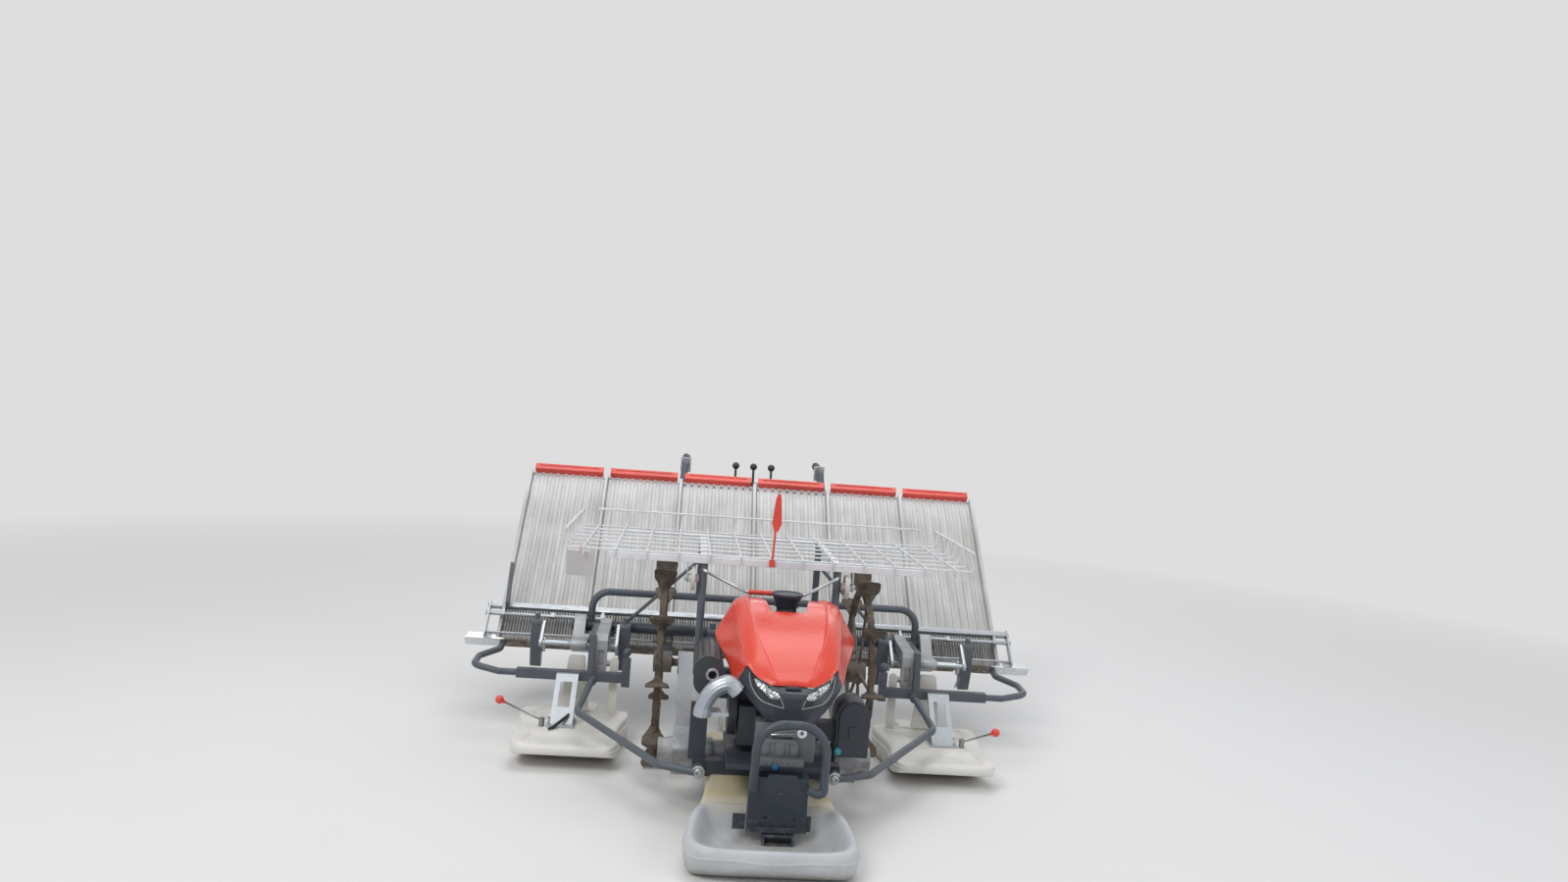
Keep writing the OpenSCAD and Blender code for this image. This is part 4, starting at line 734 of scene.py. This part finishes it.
def middle_float():
    """The middle float: an open pan with a rolled rim in front, and its plain body behind."""
    half = spread(rounded(PAN_OUTLINE, [30] * 12, 4), 60)
    outline = half + [(-x, y) for x, y in half[-2:0:-1]]
    wall = spread(rounded(PAN_WALL, [20, 20, 8, 8, 8, 2, 1, 1, 2] + [6] * 12, 3), 62)
    rings = []
    for inset, z in wall:
        ring = []
        for x, y in outline:
            px = x * (1 - inset / PAN_HALF)
            reach = PAN_AHEAD if y < PAN_MIDDLE_Y else PAN_BEHIND
            py = PAN_MIDDLE_Y + (y - PAN_MIDDLE_Y) * (1 - inset / reach)
            rake = PAN_RAKE * max(0.0, PAN_RAKE_Y - py) * max(0.0, 1 - z / PAN_RAKE_Z)
            # The rim rises towards the rear, and its seam waves along the front
            rise = 20 * smooth(-1110, -930, py) * smooth(34, 86, z)
            wave = 3.0 * math.cos(x / 34) * smooth(-1100, -1160, y)
            wave *= smooth(44, 58, z) * smooth(76, 66, z)
            ring.append((px, py, z + rake + rise - wave))
        rings.append(ring)
    verts, faces = skin(rings)
    body = []
    for y in stations(MIDDLE_FLOAT, 14.0):
        _, w, low, top, flat, height = through(MIDDLE_FLOAT, y)
        # A smooth curve through the table can dip under the ground
        low = max(0.0, low)
        r = min(24.0, 0.42 * (top - low))
        side = rounded([(0.0, low), (w, low), (w, top), (flat, top), (0.0, height)], [r, r, 8], 5)
        body.append([(x, y, z) for x, z in side] + [(-x, y, z) for x, z in side[-2:0:-1]])
    add_skin(verts, faces, body)
    piece("middle_float_skin", verts, faces, "float_grey", "machine", ("float_middle",))


def side_floats():
    """Both side floats in one piece, since they are one part of the frame."""
    verts, faces = [], []
    for middle in (-SIDE_FLOAT_X, SIDE_FLOAT_X):
        rings = []
        for y in stations(SIDE_FLOAT, 10.0):
            _, w, low, top, hollow, floor = through(SIDE_FLOAT, y)
            low = max(0.0, low)
            h = top - low
            r = min(17.0, 0.42 * h)
            seam = top - 0.42 * min(h, 60)
            wide, tall = BEAD
            half = rounded([
                (0.0, low), (w, low),
                (w, seam - tall), (w + wide, seam - 2.0), (w + wide, seam + 2.0), (w, seam + tall),
                (w, top), (hollow + 0.55 * (w - hollow), top + 0.2), (hollow, top),
                (hollow - 12, floor), (0.0, floor),
            ], [r, 1.0, 0.8, 0.8, 1.0, r, r, 16, 12], 4)
            mirrored = [(middle - x, y, z) for x, z in half[-2:0:-1]]
            rings.append([(middle + x, y, z) for x, z in half] + mirrored)
        add_skin(verts, faces, rings)
    piece("side_float_skins", verts, faces, "float_cream", "machine", ("float_sides",))


def surface(node):
    """The shown surface of a CAD node in metres, for placing pieces on it."""
    graph = bpy.context.evaluated_depsgraph_get()
    obj = nodes[node]
    mesh = obj.evaluated_get(graph).to_mesh()
    points = [obj.matrix_world @ v.co for v in mesh.vertices]
    return BVHTree.FromPolygons(points, [tuple(p.vertices) for p in mesh.polygons])


# Windows of the lamps from the front: distance from the nose's middle, and z
LAMP_WINDOW = [(40, 411), (60, 419), (95, 433), (113, 450), (99, 421), (58, 395), (33, 398)]
# Dark glossy surround below each lamp, and the line of its light trim
LAMP_SURROUND = [
    (33, 398), (58, 395), (99, 421), (113, 449), (115, 438), (109, 414), (96, 396), (78, 384), (24, 375),
]
LAMP_TRIM = [
    (115, 446), (114, 432), (109, 414), (96, 396), (78, 384), (50, 379), (24, 375), (27, 385), (33, 397),
]
LAMP_BULB = (63, 411)
# Lines of sight to the lamps: where they start, and the first, the spacing and the count in x and z
SIGHT_Y = -1100.0
LAMP_GRID = (22, 372)
LAMP_STEP = 1.4
LAMP_COUNT = (66, 58)


def within(outline, x, z):
    """Whether a point lies inside a closed outline."""
    inside = False
    for (x0, z0), (x1, z1) in zip(outline, outline[1:] + outline[:1]):
        if (z0 > z) != (z1 > z) and x < x0 + (z - z0) / (z1 - z0) * (x1 - x0):
            inside = not inside
    return inside


def front_of(tree, x, z):
    """Where a line of sight from ahead of the nose meets a surface, as y."""
    hit = tree.ray_cast(Vector((x, SIGHT_Y, z)) * MM, Vector((0, 1, 0)))[0]
    return None if hit is None else hit.y / MM


def patch(name, outline, tree, side, look, depth):
    """A skin over the part of a surface inside an outline; depth(x, z) sets it back from the surface."""
    verts, faces, index = [], [], {}
    for i in range(LAMP_COUNT[0]):
        for j in range(LAMP_COUNT[1]):
            x, z = LAMP_GRID[0] + i * LAMP_STEP, LAMP_GRID[1] + j * LAMP_STEP
            y = front_of(tree, NOSE_X + side * x, z) if within(outline, x, z) else None
            if y is not None:
                index[i, j] = len(verts)
                verts.append((NOSE_X + side * x, y + depth(x, z), z))
    for (i, j), a in index.items():
        ring = [a, index.get((i + 1, j)), index.get((i + 1, j + 1)), index.get((i, j + 1))]
        if None not in ring:
            faces.append(tuple(ring if side > 0 else ring[::-1]))
    piece(name, verts, faces, look)


def lamp_parts():
    """Behind each clear lamp a fluted bowl with its bulb, and round it a dark surround and a trim line."""
    glass, mask = surface("headlamps"), surface("nose_mask")

    def bowl(x, z):
        """Depth behind the glass, less the flutes and the bulb."""
        flute = 1.5 * abs(math.sin((0.80 * x + 0.60 * z) / 3.1))
        flute += 1.1 * abs(math.sin((0.55 * x - 0.83 * z) / 4.2))
        away = (x - LAMP_BULB[0]) ** 2 + (z - LAMP_BULB[1]) ** 2
        return 9.2 - flute - 5.0 * max(0.0, 1 - away / 70.0) ** 0.5

    for side, label in ((-1, "left"), (1, "right")):
        patch(f"reflector_{label}", LAMP_WINDOW, glass, side, "reflector", bowl)
        patch(f"lamp_surround_{label}", LAMP_SURROUND, mask, side, "smoked", lambda x, z: -0.7)
        path = []
        for x, z in spread(rounded(LAMP_TRIM, [8, 8, 8, 8, 10, 2, 3], 4), 48):
            y = front_of(mask, NOSE_X + side * x, z)
            if y is not None:
                path.append((NOSE_X + side * x, y - 0.9, z))
        verts, faces = skin(sweep(path, [(1.5 * u, v) for u, v in circle(1.0, 10)]))
        piece(f"lamp_trim_{label}", verts, faces, "trim")


# Middle line of the duct's sleeve, the radii of its bends, its half width and depth, and its ridges
DUCT_PATH = [(-98, -850, 391), (-122, -850, 413), (-160, -850, 398), (-188, -850, 354), (-190, -850, 322)]
DUCT_BENDS = [16, 22, 24]
DUCT_HALF = 22.5
DUCT_HALF_DEPTH = 27.0
DUCT_RIDGES = 6


def ridged_duct():
    """The bent duct's wide pressed sleeve, with ridges along it and a rolled end."""
    path = rounded(DUCT_PATH, DUCT_BENDS, 8)
    count = 96
    rings = []
    for k, ring in enumerate(sweep(path, circle(1.0, count))):
        middle = Vector(path[k])
        swell = 1.0 + (0.07 if k >= len(path) - 2 else 0.0)
        points = []
        for a, p in zip(angles(count), ring):
            ridge = 1.8 * max(0.0, math.cos(DUCT_RIDGES * a)) ** 3
            half, deep = DUCT_HALF + ridge, DUCT_HALF_DEPTH + ridge
            out = Vector(p) - middle
            points.append(tuple(middle + Vector((out.x * half, out.y * deep, out.z * half)) * swell))
        rings.append(points)
    verts, faces = skin(rings)
    piece("duct_sleeve", verts, faces, "duct")


# Side markers: the middle of each ball, and the foot of its rod
MARKERS = {
    "left": ((-812, -250, 170), (-680, -225, 104)),
    "right": ((760, -330, 170), (680, -225, 104)),
}
MARKER_BALL = 13.7


def marker_balls():
    """Moulded balls with a seam and a neck, on the ends of the side markers."""
    profile = [(0.1, -MARKER_BALL)]
    steps = 18
    for i in range(1, steps):
        a = math.pi * i / steps
        r = MARKER_BALL + (0.5 if i == steps // 2 else 0.0)
        profile.append((r * math.sin(a), -r * math.cos(a)))
    profile += [(5.6, 13.2), (5.2, 21), (3.6, 22), (3.1, 22.2)]
    for label, (place, foot) in MARKERS.items():
        way = (Vector(foot) - Vector(place)).normalized()
        verts, faces = skin(revolve(place, way, profile))
        piece(f"marker_ball_{label}", verts, faces, "red_trim")


def turned(name, place, profile, look, caps=True):
    """A small turned part that points forwards."""
    verts, faces = skin(revolve(place, (0, -1, 0), profile), caps)
    piece(name, verts, faces, look)


# Blank card on the rack: its middle, half width, height and half thickness
TAG_X = -578.0
TAG_HALF = 42.0
TAG_TALL = 74.0
TAG_HALF_THICK = 0.45


def hanging_tag():
    """A blank card, hung from a wire of the rack by a closed tie."""
    y, top = RACK_FRONT - 6.0, RACK_WIRE_Z - 11.0
    columns, rows = 18, 16
    verts, faces = [], []
    for face_side in (-1, 1):
        for j in range(rows + 1):
            for i in range(columns + 1):
                # The card has clipped corners, sags and leans to one side
                u, v = i / columns * 2 - 1, j / rows
                clip = 1.6 if v in (0.0, 1.0) and abs(u) == 1 else 0.0
                sag = 3.0 * u * u + 2.5 * v * v + 1.2 * math.sin(2.2 * u + 1.5 * v)
                across = TAG_X + u * (TAG_HALF - clip) + 2.0 * v
                height = top - v * TAG_TALL - 1.6 * u + (-clip if v == 0.0 else clip)
                verts.append((across, y - sag + face_side * TAG_HALF_THICK, height))
    line = columns + 1
    size = line * (rows + 1)
    for j in range(rows):
        for i in range(columns):
            a = j * line + i
            quad = (a, a + 1, a + line + 1, a + line)
            faces += [quad, tuple(size + q for q in reversed(quad))]
    rim = list(range(line))
    rim += [j * line + columns for j in range(1, rows + 1)]
    rim += [rows * line + i for i in range(columns - 1, -1, -1)]
    rim += [j * line for j in range(rows - 1, 0, -1)]
    for a, b in zip(rim, rim[1:] + rim[:1]):
        faces.append((a, a + size, b + size, b))
    piece("blank_tag", verts, faces, "tag")
    # The tie goes round the wire and through the card's top edge
    middle = Vector((TAG_X, RACK_FRONT - 1.5, RACK_WIRE_Z - 4.5))
    loop = [middle + Vector((1.5 * math.sin(a), 8.0 * math.cos(a), 10.5 * math.sin(a))) for a in angles(32)]
    ring = sweep([loop[-1]] + loop + [loop[0], loop[1]], circle(0.9, 10))[1:-2]
    verts, faces = skin(ring + ring[:1], caps=False)
    piece("tag_tie", verts, faces, "red_trim")


# Red sleeve of the bail: its left end, length, height and radius
SLEEVE_X = -66
SLEEVE_LENGTH = 162
BAIL_Z = 590
SLEEVE_RADIUS = 7.6


def bail_sleeve():
    """The reddish hose on the straight part of the bail, a little uneven along its length."""
    steps = 40
    path = [(SLEEVE_X + SLEEVE_LENGTH * i / steps, RACK_FRONT - 40, BAIL_Z) for i in range(steps + 1)]
    rings = []
    for i, ring in enumerate(sweep(path, circle(SLEEVE_RADIUS, 20))):
        middle = Vector(path[i])
        swell = 1.0 + 0.05 * math.sin(i * 0.9)
        rings.append([tuple(middle + (Vector(q) - middle) * swell) for q in ring])
    verts, faces = skin(rings)
    piece("bail_sleeve", verts, faces, "red_trim")


def bar(name, path, radius, look, flat=1.0):
    """A bent rod with narrowed ends; flat is its height as a share of its width."""
    rings = sweep(path, [(u, v * flat) for u, v in circle(radius, 16)])
    for i in (0, -1):
        end = Vector(path[i])
        rings[i] = [tuple(end + (Vector(q) - end) * 0.6) for q in rings[i]]
    verts, faces = skin(rings)
    piece(name, verts, faces, look)


# Profiles of small turned parts: radius, and distance forwards
KNOB = [(0.5, 0.0), (7.4, 0.0), (8.6, 1.2), (8.6, 9.0), (7.2, 11.4), (3.0, 12.2), (0.5, 12.3)]
WASHER = [
    (0.5, 0.0), (17.0, 0.0), (18.0, 0.8), (18.0, 2.4), (16.8, 3.2), (11.4, 3.4), (11.2, 9.4), (9.6, 11.0),
    (5.2, 11.4), (5.0, 9.2), (0.5, 9.0),
]
OUTLET = [(11.2, -6), (11.2, 9.6), (12.2, 10.6), (17.0, 10.6), (18.2, 9.4), (18.2, 0.0)]
BOSS = [(4.6, 0.0), (12.2, 0.0), (13.2, 0.8), (13.2, 3.6), (12.0, 4.8), (6.0, 4.8), (4.6, 3.8), (4.6, 0.4)]
BUMPER_BOLT = (187, -792.6, 148)
# The bright lever in front of the engine, and the dark one at the foot of the left marker
SPEED_LEVER = [
    (-8, -915.6, 298.8), (-4, -915.8, 299.2), (20, -916, 301), (46, -916, 303), (70, -916, 304.8),
]
MARKER_LEVER = [(-654, -264, 88.6), (-641, -252, 91), (-607, -211, 113), (-598, -198, 121)]


def small_parts():
    """Caps, bright washers and levers that the frame has plainer or not at all."""
    turned("bolt_cap", (8, -926.2, 217), KNOB, "blue_cap")
    turned("cleaner_cap", (186, -812.2, 233), [(r * 1.15, h * 1.1) for r, h in KNOB], "teal_cap")
    x, y, z = BUMPER_BOLT
    turned("bumper_bolt_left", (-x, y, z), WASHER, "zinc")
    turned("bumper_bolt_right", (x, y, z), WASHER, "zinc")
    turned("muffler_outlet", (-166, -737, 405), OUTLET, "zinc", caps=False)
    bar("speed_lever", SPEED_LEVER, 5.6, "chrome", 0.42)
    turned("speed_lever_boss", (74, -914.2, 305), BOSS, "chrome", caps=False)
    bar("marker_lever", MARKER_LEVER, 5.0, "grip_rubber")


# Lower end of the tray's slope and its angle; pitch and count of the frame's comb rods
SLOPE_Y = 206
SLOPE_Z = 248
SLOPE = math.radians(42.6)
COMB_PITCH = 30.0
COMB_COUNT = 60


def fine_comb():
    """Two thin rods in each gap of the frame's comb rods, along the tray's slope."""
    verts, faces = [], []
    for i in range(COMB_COUNT - 1):
        for shift in (COMB_PITCH / 3, COMB_PITCH * 2 / 3):
            x = (i - (COMB_COUNT - 1) / 2) * COMB_PITCH + shift
            path = []
            for along in (20.6, 44.0, 68.0, 92.0, 117.4):
                # The rods wave a little over the slope, in each gap differently
                up = 37.0 + 0.5 * math.sin(i * 1.7 + along)
                y = SLOPE_Y + along * math.cos(SLOPE) - up * math.sin(SLOPE)
                path.append((x, y, SLOPE_Z + along * math.sin(SLOPE) + up * math.cos(SLOPE)))
            add_skin(verts, faces, sweep(path, circle(1.9, 7)))
    piece("fine_comb", verts, faces, "comb_dark")


# The photograph's camera: place in metres, turns in radians, focal length and width in pixels
CAMERA_PLACE = (-0.272, -3.920, 1.175)
CAMERA_YAW = 0.080
CAMERA_PITCH = 0.035
CAMERA_ROLL = 0.075
CAMERA_FOCAL = 1182.0
PHOTO_WIDTH = 1599.0
SENSOR = 36.0


def place_camera():
    """The camera at the photograph's place and angle."""
    level = math.cos(CAMERA_PITCH)
    ahead = Vector((math.sin(CAMERA_YAW) * level, math.cos(CAMERA_YAW) * level, -math.sin(CAMERA_PITCH)))
    right = Vector((math.cos(CAMERA_YAW), -math.sin(CAMERA_YAW), 0.0))
    up = right.cross(ahead)
    rolled_right = right * math.cos(CAMERA_ROLL) + up * math.sin(CAMERA_ROLL)
    rolled_up = -right * math.sin(CAMERA_ROLL) + up * math.cos(CAMERA_ROLL)
    data = bpy.data.cameras.new("photo_camera")
    data.sensor_fit = "HORIZONTAL"
    data.sensor_width = SENSOR
    data.lens = CAMERA_FOCAL / PHOTO_WIDTH * SENSOR
    data.clip_end = 100.0
    cam = bpy.data.objects.new("photo_camera", data)
    turn = Matrix((rolled_right, rolled_up, -ahead)).transposed().to_4x4()
    cam.matrix_world = Matrix.Translation(CAMERA_PLACE) @ turn
    scene.collection.objects.link(cam)
    scene.camera = cam


# Floor, in metres: its radius, and where it starts and ends turning into the backdrop's tone
FLOOR_RADIUS = 15.0
FLOOR_FADE = (2.4, 6.5)


def build_stage():
    """A plain round floor that keeps the shadows near the machine and turns plainly pale far from it."""
    rings, spokes = 24, 96
    verts = [(0.0, 0.0, 0.0)]
    # The rings of points lie closer together near the machine
    for i in range(1, rings + 1):
        verts += [(x, y, 0.0) for x, y in circle(FLOOR_RADIUS * (i / rings) ** 1.6, spokes)]
    faces = [(0, 1 + j, 1 + (j + 1) % spokes) for j in range(spokes)]
    for i in range(rings - 1):
        a = 1 + i * spokes
        for j in range(spokes):
            k = (j + 1) % spokes
            faces.append((a + j, a + spokes + j, a + spokes + k, a + k))
    mesh = bpy.data.meshes.new("floor")
    mesh.from_pydata(verts, [], faces)
    floor = bpy.data.objects.new("floor", mesh)
    scene.collection.objects.link(floor)
    n = Net("pale_floor")
    body = n.mix(n.span(n.noise(3.0, 4.0), 0.3, 0.7), (0.85, 0.85, 0.845), (0.86, 0.86, 0.855))
    n.bump([(n.noise(150.0, 3.0), 0.03, 0.001)])
    n.done(body, 0.9)
    # Far from the machine the floor shows the backdrop's plain tone to the camera and in gloss
    length = n.add("ShaderNodeVectorMath", operation="LENGTH")
    n.link(n.coord, length.inputs[0])
    path = n.add("ShaderNodeLightPath")
    seen = n.larger(path.outputs["Is Camera Ray"], path.outputs["Is Glossy Ray"])
    seen = n.larger(seen, path.outputs["Is Transmission Ray"])
    fade = n.times(seen, n.span(length.outputs["Value"], *FLOOR_FADE))
    glow = n.add("ShaderNodeEmission", Strength=1.0)
    n.feed(BACKDROP, glow.inputs["Color"])
    both = n.add("ShaderNodeMixShader")
    n.link(fade, both.inputs[0])
    n.link(n.shader.outputs[0], both.inputs[1])
    n.link(glow.outputs[0], both.inputs[2])
    n.link(both.outputs[0], n.tree.nodes["Material Output"].inputs["Surface"])
    mesh.materials.append(n.mat)


def lamp(name, place, target, size, power, colour=(1.0, 1.0, 1.0)):
    """A soft rectangular lamp at a place, facing a target; lengths in metres, power in watts."""
    data = bpy.data.lights.new(name, "AREA")
    data.shape = "RECTANGLE"
    data.size, data.size_y = size
    data.energy = power
    data.color = colour
    obj = bpy.data.objects.new(name, data)
    way = Vector(target) - Vector(place)
    obj.matrix_world = Matrix.Translation(place) @ way.to_track_quat("-Z", "Y").to_matrix().to_4x4()
    scene.collection.objects.link(obj)


def build_light():
    """A pale backdrop for what looks at it, a softer sky for the light, and four soft lamps."""
    world = bpy.data.worlds.new("studio")
    scene.world = world
    world.use_nodes = True
    tree = world.node_tree
    link = tree.links.new
    sky = tree.nodes["Background"]
    sky.inputs["Color"].default_value = (0.93, 0.95, 1.0, 1.0)
    sky.inputs["Strength"].default_value = 0.36
    shown = tree.nodes.new("ShaderNodeBackground")
    shown.inputs["Color"].default_value = (*BACKDROP, 1.0)
    path = tree.nodes.new("ShaderNodeLightPath")
    seen = path.outputs["Is Camera Ray"]
    for ray in ("Is Glossy Ray", "Is Transmission Ray"):
        larger = tree.nodes.new("ShaderNodeMath")
        larger.operation = "MAXIMUM"
        link(seen, larger.inputs[0])
        link(path.outputs[ray], larger.inputs[1])
        seen = larger.outputs[0]
    both = tree.nodes.new("ShaderNodeMixShader")
    link(seen, both.inputs[0])
    link(sky.outputs[0], both.inputs[1])
    link(shown.outputs[0], both.inputs[2])
    link(both.outputs[0], tree.nodes["World Output"].inputs["Surface"])
    lamp("key", (-3.2, -4.2, 5.2), (0.0, -0.2, 0.3), (3.0, 2.4), 150.0, (1.0, 0.985, 0.96))
    lamp("fill", (4.6, -3.0, 3.2), (0.0, 0.0, 0.3), (3.5, 3.0), 48.0, (0.95, 0.97, 1.0))
    lamp("top", (0.0, 0.6, 5.6), (0.0, 0.0, 0.0), (4.0, 4.0), 105.0)
    lamp("rear", (1.5, 5.0, 3.6), (0.0, 0.4, 0.4), (4.0, 2.5), 45.0)


scene.view_settings.view_transform = "Standard"
finish_nodes()
bonnet_skin()
middle_float()
side_floats()
lamp_parts()
ridged_duct()
marker_balls()
hanging_tag()
bail_sleeve()
small_parts()
fine_comb()
place_camera()
build_stage()
build_light()
